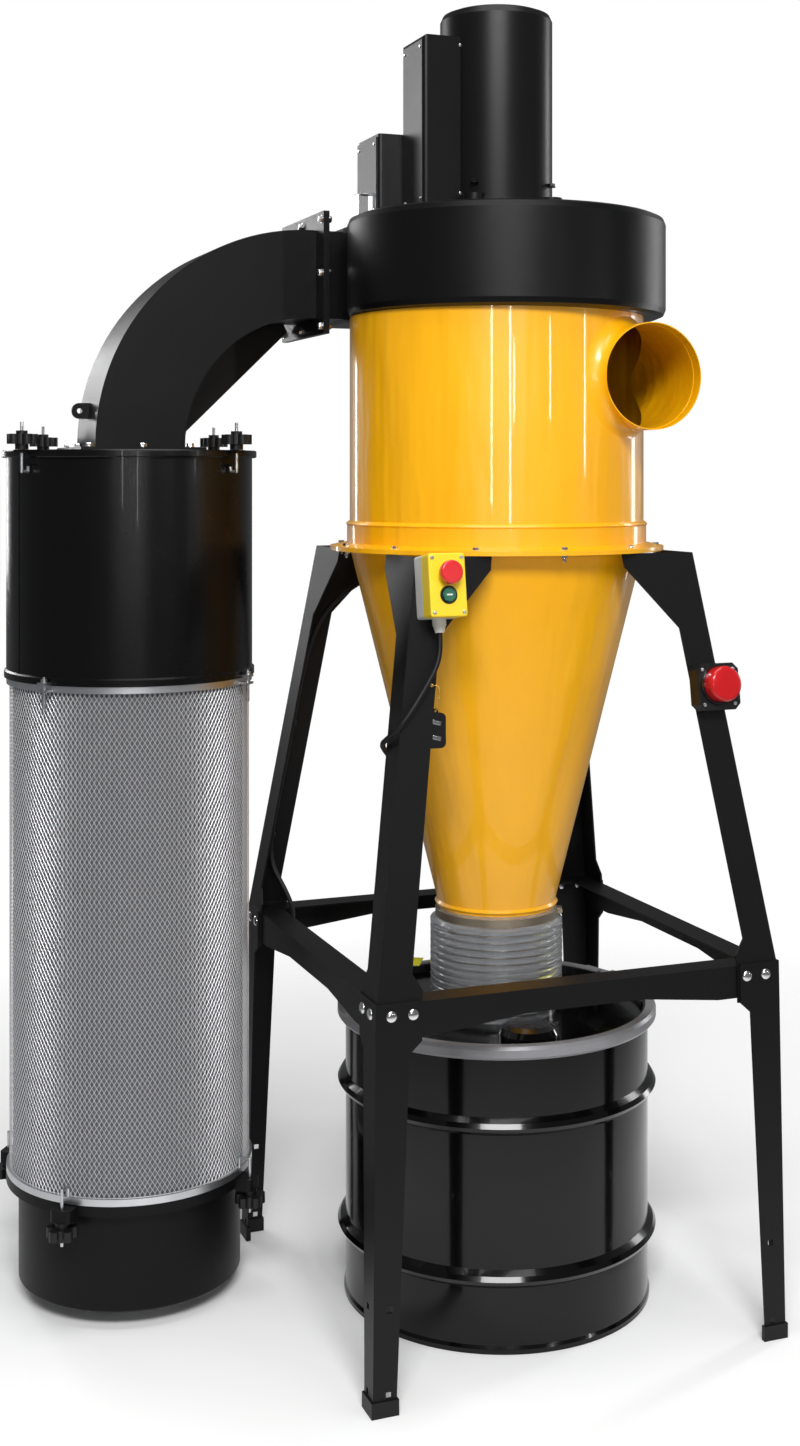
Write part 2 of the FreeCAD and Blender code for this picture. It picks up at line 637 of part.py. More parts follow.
def ring_lever():
    """Latch lever that pulls the closing ring tight, on its pin."""
    z0, z1 = lock_ring_span()
    low, high = z0 + 3.5, z1 - 2.5
    x, y = LEVER_PIVOT
    bar = box(x - 4.5, x + 4.5, y, y + LEVER_L, low, high)
    barrel_end = disc(5.5, low, high, x, y)
    lever = fused(bar, barrel_end).cut(disc(LEVER_PIN_R + 0.08, low - 1, high + 1, x, y))
    lever.rotate(V(0, 0, 0), V(0, 0, 1), LEVER_DEG)
    return lever


def lid_port():
    """Round domed sensor housing on the lid."""
    z = DRUM_H - LID_SINK + DRUM_LID_T
    r = PORT_R
    return turned([(0, z), (r, z), (r, z + 10), (r - 6, z + 20), (r - 16, z + 26),
                   (0, z + 29)], PORT_X, PORT_Y)


def flex_hose():
    """Ribbed clear hose, cuffed over the cone's spigot and the lid's collar."""
    z0 = DRUM_H - LID_SINK + DRUM_LID_T + HOSE_GAP
    z1 = CONE_BASE_Z - 12
    low, high = LID_COLLAR_R + HOSE_GAP, CONE_OUTLET_R + HOSE_GAP
    rib0, rib1 = z0 + HOSE_CUFF, SPIGOT_Z
    count = int((rib1 - rib0) / HOSE_PITCH)
    pitch = (rib1 - rib0) / count
    valley = HOSE_R - HOSE_RIB
    outline = [(low, z0), (low + HOSE_WALL, z0), (low + HOSE_WALL, rib0 - 3)]
    for i in range(count):
        z = rib0 + i * pitch
        outline += [(valley, z), (HOSE_R, z + pitch * 0.3), (HOSE_R, z + pitch * 0.7)]
    outline += [(valley, rib1), (high + HOSE_WALL, rib1 + 2), (high + HOSE_WALL, z1),
                (high, z1), (high, rib1 - 1), (valley - HOSE_WALL, rib1 - 4),
                (valley - HOSE_WALL, rib0 + 1), (low, rib0 - 1)]
    return turned(outline)


def hose_clamp():
    """Worm-drive band round the hose's cuff on the spigot."""
    z = SPIGOT_Z + 4
    r = CONE_OUTLET_R + HOSE_GAP + HOSE_WALL + 0.1
    band = ring(r + 1.2, r, z, z + HOSE_CLAMP_W)
    screw = rod(5, (r + 6, -13, z + 6.5), (r + 6, 13, z + 6.5))
    saddle = box(r + 0.6, r + 6, -9, 9, z + 1, z + 12)
    worm = fused(saddle, screw)
    worm.rotate(V(0, 0, 0), V(0, 0, 1), -22)
    return fused(band, worm)


# ---------------------------------------------------------------- stand

def upper_half_side(z):
    """Half side of the stand over the upper legs at a height."""
    if z >= BEND_Z:
        return LEG_TOP + (LEG_TOP_Z - z) * UPPER_SLOPE
    return LEG_BEND - LEG_T + (BEND_Z - z) * LOWER_SLOPE


def lower_half_side(z):
    return LEG_BEND + (BEND_Z - z) * LOWER_SLOPE


def flange_pair(outline, half_side, thick):
    """Both flanges of an angle whose corner is outwards, for the +X +Y corner.

    The outline gives (distance from the corner, height) points.
    """
    face_y = [V(half_side(z) - u, half_side(z), z) for u, z in outline]
    face_x = [V(half_side(z), half_side(z) - u, z) for u, z in outline]
    plate_y = Part.Face(Part.makePolygon(face_y + [face_y[0]])).extrude(V(0, -thick, 0))
    plate_x = Part.Face(Part.makePolygon(face_x + [face_x[0]])).extrude(V(-thick, 0, 0))
    return plate_y, plate_x


def upper_leg():
    top, bend = LEG_TOP_Z, BEND_Z
    lean = flange_pair([(0, top), (GUSSET_W, top), (GUSSET_W, top - GUSSET_EDGE),
                        (LEG_W, top - GUSSET_H), (LEG_W, bend + 42),
                        (JOINT_W, bend + 14), (JOINT_W, bend), (0, bend)],
                       upper_half_side, LEG_T)
    foot = flange_pair([(0, bend), (JOINT_W, bend), (JOINT_W, JOINT_Z), (0, JOINT_Z)],
                       upper_half_side, LEG_T)
    return fused(*lean, *foot)


def lower_leg():
    """Lower angle of a leg, with two square holes in each flange."""
    plates = flange_pair([(0, BEND_Z), (JOINT_W, BEND_Z), (JOINT_W, JOINT_Z),
                          (LEG_W + 2, JOINT_Z - 18), (FOOT_W, 3), (0, 3)],
                         lower_half_side, LEG_T)
    leg, half = fused(*plates), LEG_HOLE / 2
    for z in LEG_HOLE_Z:
        out = lower_half_side(z) + LEG_T
        a, b = out - LEG_HOLE_INSET - half, out - LEG_HOLE_INSET + half
        leg = leg.cut(box(a, b, out - 4 * LEG_T, out, z - half, z + half))
        leg = leg.cut(box(out - 4 * LEG_T, out, a, b, z - half, z + half))
    return leg


def boot():
    """Rubber boot over the foot of a leg."""
    a = LEG_FOOT + BOOT_T
    inner = FOOT_W + 4
    outside = fused(box(a - inner - BOOT_T, a, a - 2 * BOOT_T - LEG_T, a, 0, BOOT_H),
                    box(a - 2 * BOOT_T - LEG_T, a, a - inner - BOOT_T, a, 0, BOOT_H))
    foot = flange_pair([(0, BOOT_H + 1), (FOOT_W + 1, BOOT_H + 1), (FOOT_W + 1, 3), (0, 3)],
                       lower_half_side, LEG_T)
    return outside.cut(foot[0]).cut(foot[1]).Solids[0]


def brace():
    """Angle brace along the +Y side, bolted inside the wide ends of the legs."""
    def inner_side(z):
        return upper_half_side(z) - LEG_T

    z1 = BRACE_TOP_Z
    half = inner_side(z1) - LEG_T
    low, mid = z1 - BRACE_END_H, z1 - BRACE_MID_H
    step = half - 110
    web_pts = [(-half, z1), (-half, low), (-step, low), (-step + 150, mid),
               (step - 150, mid), (step, low), (half, low), (half, z1)]
    web = [V(x, inner_side(z), z) for x, z in web_pts]
    web = Part.Face(Part.makePolygon(web + [web[0]])).extrude(V(0, -BRACE_T, 0))
    y1 = inner_side(z1)
    tip = half - BRACE_T
    shelf_pts = [V(-tip, y1, z1), V(-tip + BRACE_SHELF, y1 - BRACE_SHELF, z1),
                 V(tip - BRACE_SHELF, y1 - BRACE_SHELF, z1), V(tip, y1, z1)]
    shelf = Part.Face(Part.makePolygon(shelf_pts + [shelf_pts[0]])).extrude(V(0, 0, -BRACE_T))
    return fused(web, shelf)


CORNERS = {"front_left": 180, "front_right": 270, "back_right": 0, "back_left": 90}
SIDES = {"back": 0, "left": 90, "front": 180, "right": 270}


# ---------------------------------------------------------------- fittings

def switch_placed(shape):
    """Move a shape drawn at the switch box's own origin on to the leg's face.

    The origin is at the middle of the back face; -Y points out of the box.
    """
    z = LEG_TOP_Z - SWITCH_H / 2 * math.cos(math.radians(SWITCH_TILT))
    x = -(upper_half_side(z) - SWITCH_INSET - SWITCH_W / 2)
    shape = shape.copy()
    shape.rotate(V(0, 0, 0), V(1, 0, 0), -SWITCH_TILT)
    shape.translate(V(x + 2, -upper_half_side(z), z))
    return shape


def switch_base():
    w, d, h = SWITCH_W, SWITCH_BASE_D, SWITCH_H
    body = box(-w / 2, w / 2, -d, 0, -h / 2, h / 2)
    body = body.makeFillet(5, [e for e in body.Edges
                               if e.BoundBox.YMax - e.BoundBox.YMin > d - 1])
    return switch_placed(body)


def switch_cover():
    w, d, h = SWITCH_W, SWITCH_D, SWITCH_H
    body = box(-w / 2, w / 2, -d, -SWITCH_BASE_D, -h / 2, h / 2)
    body = body.makeFillet(5, [e for e in body.Edges
                               if e.BoundBox.YMax - e.BoundBox.YMin > 30])
    body = body.makeFillet(3, [e for e in body.Edges if e.BoundBox.YMax < -d + 1e-3])
    stop = rod(11 + BUTTON_GAP, (0, -d - 1, STOP_UP), (0, -d + 24, STOP_UP))
    start = rod(START_R + BUTTON_GAP, (0, -d - 1, -START_DOWN), (0, -d + 24, -START_DOWN))
    return switch_placed(body.cut(stop).cut(start))


def stop_button():
    """Mushroom head on its stem."""
    d = SWITCH_D
    head = rod(STOP_R, (0, -d - 24, STOP_UP), (0, -d - 12, STOP_UP))
    head = head.makeFillet(4, [e for e in head.Edges if e.BoundBox.YMax < -d - 23])
    stem = rod(11, (0, -d - 12, STOP_UP), (0, -d + 18, STOP_UP))
    return switch_placed(fused(head, stem))


def start_button():
    d = SWITCH_D
    return switch_placed(rod(START_R, (0, -d - 5, -START_DOWN), (0, -d + 18, -START_DOWN)))


def gland_end():
    """Where the cable leaves the gland under the switch box."""
    return switch_placed(Part.Vertex(
        V(0, -SWITCH_BASE_D / 2, -SWITCH_H / 2 - GLAND_H))).Point


def switch_gland():
    y, z = -SWITCH_BASE_D / 2, -SWITCH_H / 2
    nut = rod(GLAND_R, (0, y, z), (0, y, z - 12))
    cap = Part.makeCone(GLAND_R - 1, GLAND_R - 4, GLAND_H - 12, V(0, y, z - 12), V(0, 0, -1))
    return switch_placed(fused(nut, cap))


def cable_route():
    """Points of the switch cable, from the switch gland to the control box.

    It bows down the front of the leg, turns round its flange, goes down
    inside the leg, back under the left brace, up inside the back left leg
    and up behind the barrel to the fan.
    """
    h = upper_half_side
    out, mouth = gland_end(), control_gland_end()
    down = (out - switch_placed(Part.Vertex(
        V(0, -SWITCH_BASE_D / 2, -SWITCH_H / 2))).Point).normalize()

    def inside(inset_x, inset_y, z, back):
        side = 1 if back else -1
        return V(-h(z) + inset_x, side * (h(z) - inset_y), z)

    return [
        out, out + down * 26, V(-251, -h(1216.5) - 21, 1216.5), V(-268, -h(1190) - 21, 1190),
        V(-291, -h(1165) - 22, 1165), V(-307.5, -h(1137.5) - 19, 1137.5),
        V(-328.5, -h(1116) - 6, 1116), V(-338, -295, 1101), V(-336, -264, 1086.5),
        V(-320, -239, 1069), V(-294, -229, 1045), V(-275.5, -245, 1013), V(-273, -277, 975),
        inside(22, 26, 915, False), inside(15, 17, 800, False),
        V(-336, -332, 725), V(-307, -296, 684), V(-318, -246, 658),
        V(-349, -190, 651), V(-354, -80, 653), V(-350, 40, 652), V(-355, 140, 651),
        V(-346, 222, 652), V(-315, 278, 664), V(-318, 318, 700),
        inside(17, 15, 765, True), inside(14, 17, 870, True), inside(17, 14, 985, True),
        inside(14, 17, 1100, True), inside(18, 16, 1195, True), V(-264, 266, 1256),
        V(-232, 254, 1296), V(-190, 254, 1322), V(-146, 270, 1342), V(-108, 298, 1362),
        V(-82, 326, 1392), V(-62, 335, 1432), V(-44, 322, 1478), V(-28, 301, 1530),
        V(-14, 291, 1598), V(2, 292, 1680), V(20, 308, 1748), V(42, 342, 1792),
        V(56, 363, 1838), V(58, 367, 1905), V(54, 364, 1970), V(42, 352, 2018),
        V(16, 322, 2044), V(-22, 300, 2046), V(-64, 291, 2037), V(-106, 290, 2038),
        V(-145, 272, 2051), mouth + V(0, 34, 0), mouth]


def pipe(points, radius, report=None):
    """Tube along straight runs joined by tangent arcs."""
    runs = [b - a for a, b in zip(points, points[1:])]
    arcs, cuts = [], [0.0]
    for i in range(1, len(points) - 1):
        d0, d1 = V(runs[i - 1]).normalize(), V(runs[i]).normalize()
        half = d0.getAngle(d1) / 2
        cut = 0.45 * min(runs[i - 1].Length, runs[i].Length)
        if report is not None:
            report.append((i, round(math.degrees(2 * half)), round(cut / math.tan(half))))
        start, end = points[i] - d0 * cut, points[i] + d1 * cut
        bisector = (d1 - d0).normalize()
        arc_r = cut / math.tan(half)
        centre = points[i] + bisector * (arc_r / math.cos(half))
        middle = centre - bisector * arc_r
        arcs.append(Part.Arc(start, middle, end).toShape())
        cuts.append(cut)
    edges, at = [], points[0]
    for arc in arcs:
        edges += [Part.LineSegment(at, arc.Vertexes[0].Point).toShape(), arc]
        at = arc.Vertexes[-1].Point
    edges.append(Part.LineSegment(at, points[-1]).toShape())
    path = Part.Wire(edges)
    section = Part.Wire(Part.makeCircle(radius, points[0], runs[0]))
    return path.makePipeShell([section], True, True), path.Length


def switch_cable():
    radii = []
    tube, length = pipe(cable_route(), CABLE_R, radii)
    print("cable length", round(length), "volume ratio",
          round(tube.Volume / (math.pi * CABLE_R ** 2 * length), 4), "radii", radii)
    return tube


def cable_clips():
    """Clips that hold the cable on the legs, the brace, the barrel and the fan."""
    route = cable_route()
    h = upper_half_side
    clips = []
    for i, towards in CLIPPED_RUNS:
        a, b = route[i], route[i + 1]
        mid = (a + b) * 0.5
        along = (b - a).normalize()
        if towards in ("leg_front", "leg_back"):
            foot = V(-h(mid.z) + LEG_T + CLIP_GAP, mid.y, mid.z)
        elif towards == "brace":
            foot = V(mid.x, mid.y, BRACE_TOP_Z - BRACE_T)
        elif towards == "barrel":
            flat = V(mid.x, mid.y, 0).normalize()
            foot = V(flat.x * BARREL_R, flat.y * BARREL_R, mid.z)
        elif towards == "fan":
            deg = 360 + math.degrees(math.atan2(mid.y, mid.x))
            foot = V(*polar(0, 0, scroll_radius(deg), deg), mid.z)
        else:
            foot = V(mid.x, mid.y, FAN_TOP_Z)
        ring_out = Part.makeCylinder(CABLE_R + 2.5, 9, mid - along * 4.5, along)
        bore = Part.makeCylinder(CABLE_R + CABLE_FIT, 30, mid - along * 15, along)
        post = Part.makeCylinder(3, (foot - mid).Length, mid, foot - mid)
        clips.append(fused(ring_out, post).cut(bore).Solids[0])
    return Part.Compound(clips)


def remote_fob():
    """Two-button remote, hanging behind the edge of the front left leg."""
    z1 = FOB_TOP_Z
    x1 = -upper_half_side(z1 - FOB_SIZE[2] / 2) + LEG_W + FOB_OUT
    y = -upper_half_side(z1) + LEG_T + 3
    wx, wy, wz = FOB_SIZE
    body = box(x1 - wx, x1, y, y + wy, z1 - wz, z1)
    body = body.makeFillet(9, [e for e in body.Edges if e.BoundBox.YMax - e.BoundBox.YMin > wy - 1])
    eye = ring(4.5, 2.2, -2, 2)
    eye.rotate(V(0, 0, 0), V(1, 0, 0), 90)
    eye.translate(V(x1 - wx / 2, y + wy / 2, z1 + 2.5))
    return fused(body, eye)


def fob_chain():
    """Bead chain from a stud on the leg's face, over its edge, to the remote."""
    top, r = FOB_TOP_Z + 46, 1.2
    h = upper_half_side
    edge = -h(top) + LEG_W
    x1 = -h(FOB_TOP_Z - FOB_SIZE[2] / 2) + LEG_W + FOB_OUT - FOB_SIZE[0] / 2
    y1 = -h(FOB_TOP_Z) + LEG_T + 3 + FOB_SIZE[1] / 2
    points = [V(edge - 8, -h(top) - 2, top + 2), V(edge + 1, -h(top) - 2.5, top + 1),
              V(edge + 4, -h(top) + 2, top - 5), V(x1 + 1, y1 - 4.5, FOB_TOP_Z + 14),
              V(x1, y1 - 4.5, FOB_TOP_Z + 2.5), V(x1, y1 + 0.5, FOB_TOP_Z + 2.5)]
    links = [rod(r, a, b) for a, b in zip(points, points[1:])]
    joints = [Part.makeSphere(r, p) for p in points]
    stud = rod(3, (edge - 8, -h(top + 2) - CLIP_GAP, top + 2), (edge - 8, -h(top + 2) - 3, top + 2))
    return fused(links[0], *links[1:], *joints, stud)


def beacon_base():
    """Square base of the beacon, flat on the leg's face."""
    w, d = BEACON_W, BEACON_D
    body = box(-w / 2, w / 2, -d, 0, -w / 2, w / 2)
    body = body.makeChamfer(11, [e for e in body.Edges
                                 if e.BoundBox.YMax - e.BoundBox.YMin > d - 1])
    return beacon_placed(body)


def beacon_lens():
    r, d = BEACON_LENS_R, BEACON_D
    lens = rod(r, (0, -d, 4), (0, -d - BEACON_LENS_D, 4))
    lens = lens.makeFillet(8, [e for e in lens.Edges if e.BoundBox.YMax < -d - 5])
    return beacon_placed(lens)


def beacon_placed(shape):
    z = BEACON_Z
    shape = shape.copy()
    shape.rotate(V(0, 0, 0), V(1, 0, 0), -SWITCH_TILT)
    shape.translate(V(upper_half_side(z) - 20, -upper_half_side(z), z))
    return shape


def main():
    os.makedirs("parts", exist_ok=True)
    write("barrel", barrel())
    write("inlet_pipe", inlet_pipe())
    write("cone", cone())
    write("fan_housing", fan_housing())
    write("motor", motor())
    write("capacitor_box", capacitor_box())
    write("control_box", control_box())
    write("control_gland", control_gland())
    write("strap_bracket", strap_bracket())
    write("elbow", elbow())
    write("plenum_lid", plenum_lid())
    write("plenum_drum", plenum_drum())
    write("lid_hooks", lid_hooks())
    write("filter_rings", filter_rings())
    write("filter_media", filter_media())
    write("filter_mesh", filter_mesh())
    write("mid_clamps", mid_clamps())
    write("filter_pan", filter_pan())
    write("pan_hooks", pan_hooks())
    for i, deg in enumerate(LID_CLAMP_DEG):
        write("lid_knob_%d" % (i + 1), lid_knob(deg))
    for i, deg in enumerate(PAN_CLAMP_DEG):
        write("pan_knob_%d" % (i + 1), pan_knob(deg))
    write("drum_shell", drum_shell())
    write("drum_lid", drum_lid())
    write("lock_ring", lock_ring())
    write("ring_lever", ring_lever())
    write("lid_port", lid_port())
    write("flex_hose", flex_hose())
    write("hose_clamp", hose_clamp())
    for name, deg in CORNERS.items():
        write("upper_leg_" + name, spun(upper_leg(), 0, 0, deg))
        write("lower_leg_" + name, spun(lower_leg(), 0, 0, deg))
    write("boots", Part.Compound([spun(boot(), 0, 0, d) for d in CORNERS.values()]))
    for name, deg in SIDES.items():
        write("brace_" + name, spun(brace(), 0, 0, deg))
    write("switch_base", switch_base())
    write("switch_cover", switch_cover())
    write("stop_button", stop_button())
    write("start_button", start_button())
    write("switch_gland", switch_gland())
    write("switch_cable", switch_cable())
    write("cable_clips", cable_clips())
    write("remote_fob", remote_fob())
    write("fob_chain", fob_chain())
    write("beacon_base", beacon_base())
    write("beacon_lens", beacon_lens())


main()
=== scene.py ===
# %% [markdown]
# # A cyclone separator, finished in Blender
# The machine stands on four legs: a yellow barrel and cone, a black fan and
# motor on top, a duct that drops into a hanging filter, and a steel drum.
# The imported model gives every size. This lesson adds what a CAD model leaves
# out: fasteners, the expanded-metal guard, the cable, and the finishes.

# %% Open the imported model
import json
import math
import bmesh
import bpy
from mathutils import Matrix, Vector


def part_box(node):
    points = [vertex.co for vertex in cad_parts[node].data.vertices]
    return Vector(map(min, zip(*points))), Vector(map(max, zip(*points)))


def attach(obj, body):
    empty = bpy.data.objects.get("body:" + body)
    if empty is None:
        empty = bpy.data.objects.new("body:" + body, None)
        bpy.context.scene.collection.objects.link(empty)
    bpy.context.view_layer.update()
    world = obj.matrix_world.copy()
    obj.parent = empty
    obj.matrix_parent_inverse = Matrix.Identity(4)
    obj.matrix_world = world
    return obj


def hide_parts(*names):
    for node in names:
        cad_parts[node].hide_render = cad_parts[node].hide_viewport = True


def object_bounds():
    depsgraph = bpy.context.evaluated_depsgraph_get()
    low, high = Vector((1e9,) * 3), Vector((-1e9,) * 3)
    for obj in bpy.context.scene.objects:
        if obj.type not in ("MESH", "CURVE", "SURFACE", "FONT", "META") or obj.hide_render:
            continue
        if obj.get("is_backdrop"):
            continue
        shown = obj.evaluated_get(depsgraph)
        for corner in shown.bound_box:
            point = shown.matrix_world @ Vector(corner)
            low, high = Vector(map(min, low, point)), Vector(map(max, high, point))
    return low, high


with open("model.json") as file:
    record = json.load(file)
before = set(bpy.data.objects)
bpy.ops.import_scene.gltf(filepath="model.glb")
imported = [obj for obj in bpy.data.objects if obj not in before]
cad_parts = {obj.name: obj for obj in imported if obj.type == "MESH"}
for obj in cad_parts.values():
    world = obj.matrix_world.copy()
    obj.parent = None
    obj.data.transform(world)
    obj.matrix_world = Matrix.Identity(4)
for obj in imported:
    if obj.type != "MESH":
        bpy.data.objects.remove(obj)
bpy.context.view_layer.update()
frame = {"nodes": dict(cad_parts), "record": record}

# %% [markdown]
# ## Camera
# The camera stands in front and to the left, at eye height, and looks
# level, so upright lines stay upright. A level camera would put the horizon
# in the middle, so the lens is shifted to frame the machine from top to foot.

# %% Camera
def put_in_scene(name, data):
    """Make an object of a mesh, curve, lamp or camera and link it."""
    made = bpy.data.objects.new(name, data)
    bpy.context.scene.collection.objects.link(made)
    return made


def aim(thing, place, heading):
    """Put a camera or lamp at a place, looking along a heading."""
    thing.location = place
    thing.rotation_euler = Vector(heading).to_track_quat("-Z", "Y").to_euler()


def put_camera(place, heading, lens, shift):
    """A level camera at a place, looking along a heading."""
    lens_data = bpy.data.cameras.new("camera")
    lens_data.lens, lens_data.sensor_width = lens, 36
    lens_data.shift_x, lens_data.shift_y = shift
    camera = put_in_scene("camera", lens_data)
    aim(camera, place, heading)
    bpy.context.scene.camera = camera
    return camera


camera = put_camera((-1.401, -3.184, 1.5435), (0.3616, 0.9323, 0), 45.31,
                    (-0.0104, -0.1729))
print("camera at", tuple(camera.location))

# %% [markdown]
# ## Making a piece
# Each added piece is a mesh that bmesh operators shape. One function turns a
# finished bmesh into an object that rides on a CAD body. The others are the
# few moves that repeat: a bevel, a lathe, and copies of a small part.

# %% Helpers for pieces
def finish_piece(name, shape, finish, body="frame", smooth=35, stands_for=()):
    """Turn a bmesh into a piece that rides on a body."""
    bmesh.ops.recalc_face_normals(shape, faces=shape.faces)
    mesh = bpy.data.meshes.new(name)
    shape.to_mesh(mesh)
    shape.free()
    if smooth:
        mesh.shade_smooth()
        mesh.set_sharp_from_angle(angle=math.radians(smooth))
    mesh.materials.append(finish)
    piece = put_in_scene(name, mesh)
    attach(piece, body)
    if stands_for:
        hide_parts(*stands_for)
    print(name, len(mesh.polygons), "faces")
    return piece


def round_edges(shape, edges, width, segments=2):
    """Bevel edges with a round profile."""
    bmesh.ops.bevel(shape, geom=edges, offset=width, segments=segments,
                    profile=0.5, affect="EDGES", material=-1)


def edges_at(verts):
    """The edges that meet at some corners, each one once."""
    return list({edge for vert in verts for edge in vert.link_edges})


def lathe(shape, outline, steps):
    """Spin an outline of (radius, height) points round Z."""
    corners = [shape.verts.new((r, 0, z)) for r, z in outline]
    edges = [shape.edges.new(pair) for pair in zip(corners, corners[1:])]
    bmesh.ops.spin(shape, geom=corners + edges, angle=math.tau, steps=steps,
                   axis=(0, 0, 1), cent=(0, 0, 0), use_merge=True)


def turned_to(direction, place, turn=0.0):
    """A matrix that carries +Z to a direction, at a place."""
    up = Vector(direction).normalized().to_track_quat("Z", "Y").to_matrix().to_4x4()
    return Matrix.Translation(place) @ up @ Matrix.Rotation(turn, 4, "Z")


def add_copies(many, master, places):
    """Add a copy of a small mesh to a bmesh at each matrix."""
    for matrix in places:
        start = len(many.verts)
        many.from_mesh(master)
        many.verts.ensure_lookup_table()
        bmesh.ops.transform(many, matrix=matrix, verts=many.verts[start:])
    return many


def copies(master, places):
    """Put a copy of a small mesh at each matrix, in one bmesh."""
    return add_copies(bmesh.new(), master, places)


def small_mesh(shape):
    """Keep a bmesh as a mesh to copy from."""
    bmesh.ops.remove_doubles(shape, verts=shape.verts, dist=1e-6)
    mesh = bpy.data.meshes.new("master")
    shape.to_mesh(mesh)
    shape.free()
    return mesh


def turned_mesh(outline, steps):
    """A small mesh made on the lathe alone."""
    shape = bmesh.new()
    lathe(shape, outline, steps)
    return small_mesh(shape)


# %% [markdown]
# ## A class for shader maths
# A material's pattern is easier to read as a sum than as a web of nodes. The
# class holds a node's socket and answers +, - and * by adding a Math node, so
# `0.5 + 0.5 * wave` works. Everything else comes from one `node` method.

# %% Shader values and paints
class Value:
    """A shader number that can stand in a sum."""

    def __init__(self, paint, socket):
        self.paint, self.socket = paint, socket

    def __add__(self, other): return self.paint.maths("ADD", self, other)
    def __sub__(self, other): return self.paint.maths("SUBTRACT", self, other)
    def __mul__(self, other): return self.paint.maths("MULTIPLY", self, other)
    __radd__, __rmul__ = __add__, __mul__


class Paint:
    """A material, with its Principled shader set from plain values."""

    def __init__(self, name, **sockets):
        self.material = bpy.data.materials.new(name)
        self.material.use_nodes = True
        self.tree = self.material.node_tree
        self.shader = self.tree.nodes["Principled BSDF"]
        self.where = Value(self, self.tree.nodes.new("ShaderNodeTexCoord").outputs["Object"])
        self.set(**sockets)

    def feed(self, socket, value):
        if isinstance(value, Value):
            self.tree.links.new(value.socket, socket)
        else:
            socket.default_value = value

    def set(self, **sockets):
        for key, value in sockets.items():
            self.feed(self.shader.inputs[key.replace("_", " ")], value)

    def node(self, kind, settings=None, inputs=None, output=0):
        """Add a node; settings first, then its sockets."""
        made = self.tree.nodes.new("ShaderNode" + kind)
        for key, value in (settings or {}).items():
            setattr(made, key, value)
        for key, value in (inputs or {}).items():
            self.feed(made.inputs[key], value)
        return Value(self, made.outputs[output])

    def maths(self, operation, a, b=0.0):
        return self.node("Math", {"operation": operation}, {0: a, 1: b})

    def axis(self, name, of):
        """One coordinate of a vector."""
        return self.node("SeparateXYZ", None, {0: of}, name)

    def placed(self, scale):
        """Object coordinates with their own scale on each axis."""
        return self.node("Mapping", {"vector_type": "TEXTURE"},
                         {"Vector": self.where, "Scale": tuple(1 / s for s in scale)})

    def noise(self, scale, detail=2.0, rough=0.5, at=None):
        return self.node("TexNoise", None, {"Vector": at or self.where, "Scale": scale,
                                            "Detail": detail, "Roughness": rough})

    def between(self, value, low, high):
        """0 at the low value, 1 at the high one, and held beyond them."""
        return self.node("MapRange", None, {0: value, 1: low, 2: high})

    def mix(self, factor, a, b):
        """A colour between two colours, plain or from a node."""
        a, b = ((*c, 1) if isinstance(c, tuple) else c for c in (a, b))
        return self.node("Mix", {"data_type": "RGBA"}, {0: factor, 6: a, 7: b}, 2)

    def bump(self, height, distance, strength, over=None):
        """A normal tilted by a height, over another normal if one is given."""
        inputs = {"Height": height, "Distance": distance, "Strength": strength}
        if over:
            inputs["Normal"] = over
        return self.node("Bump", None, inputs)


print("shader tools ready")

# %% [markdown]
# ## Yellow enamel
# The barrel and cone are powder coated in a warm yellow. The coat is thick
# and glossy but rolled sheet is never quite true, so reflections break into
# wavy upright streaks. A stretched noise moves the normal a little for this,
# and a fine noise gives the skin of the coat.

# %% Yellow enamel
def enamel(name, light, dark, rough, sheet_wave, coat):
    paint = Paint(name, Coat_Weight=coat, Coat_Roughness=0.05)
    cloud = paint.noise(4.0, 3.0)
    skin = paint.noise(700.0, 2.0)
    wave = paint.noise(1.0, 2.0, at=paint.placed((17, 17, 3.2)))
    scuff = paint.between(paint.noise(9.0, 8.0, 0.75), 0.62, 0.72)
    paint.set(Base_Color=paint.mix(cloud, dark, light),
              Roughness=rough + 0.08 * cloud + 0.12 * scuff,
              Normal=paint.bump(skin, 0.00012, 0.35, over=paint.bump(wave, sheet_wave, 1.0)))
    return paint.material


yellow = enamel("yellow enamel", (0.95, 0.47, 0.001), (0.84, 0.37, 0.001),
                rough=0.33, sheet_wave=0.0065, coat=0.45)
print("made", yellow.name)

# %% [markdown]
# ## Black finishes
# Five blacks tell the parts apart. The fan and duct have a fine speckled
# powder coat that glitters under a lamp; the plenum's is glossier; the stand
# is flatter; the motor is a smooth semi-gloss; the drum is a wet-looking
# enamel. They share one recipe with a different grain, gloss and clear coat.

# %% Black finishes
def black_coat(name, tone, rough, grain, glitter, coat=0.0, wave=0.0):
    paint = Paint(name, Coat_Weight=coat, Coat_Roughness=0.04, Specular_IOR_Level=0.22)
    cloud = paint.noise(6.0, 3.0)
    speck = paint.noise(grain, 1.0, 0.7)
    pale = paint.between(paint.noise(grain * 0.7, 1.0), 0.66, 0.74)
    dust = paint.between(paint.noise(14.0, 9.0, 0.8), 0.60, 0.75)
    normal = paint.bump(speck, 0.0003, glitter)
    if wave:
        bend = paint.noise(1.0, 2.0, at=paint.placed((18, 18, 5)))
        normal = paint.bump(bend, wave, 1.0, over=normal)
    deep = (tone, tone, tone * 1.12)
    lift = (tone * 2.6, tone * 2.6, tone * 2.9)
    paint.set(Base_Color=paint.mix(0.35 * pale + 0.12 * dust, deep, lift),
              Roughness=rough + 0.10 * (cloud - 0.5) + 0.10 * dust, Normal=normal)
    return paint.material


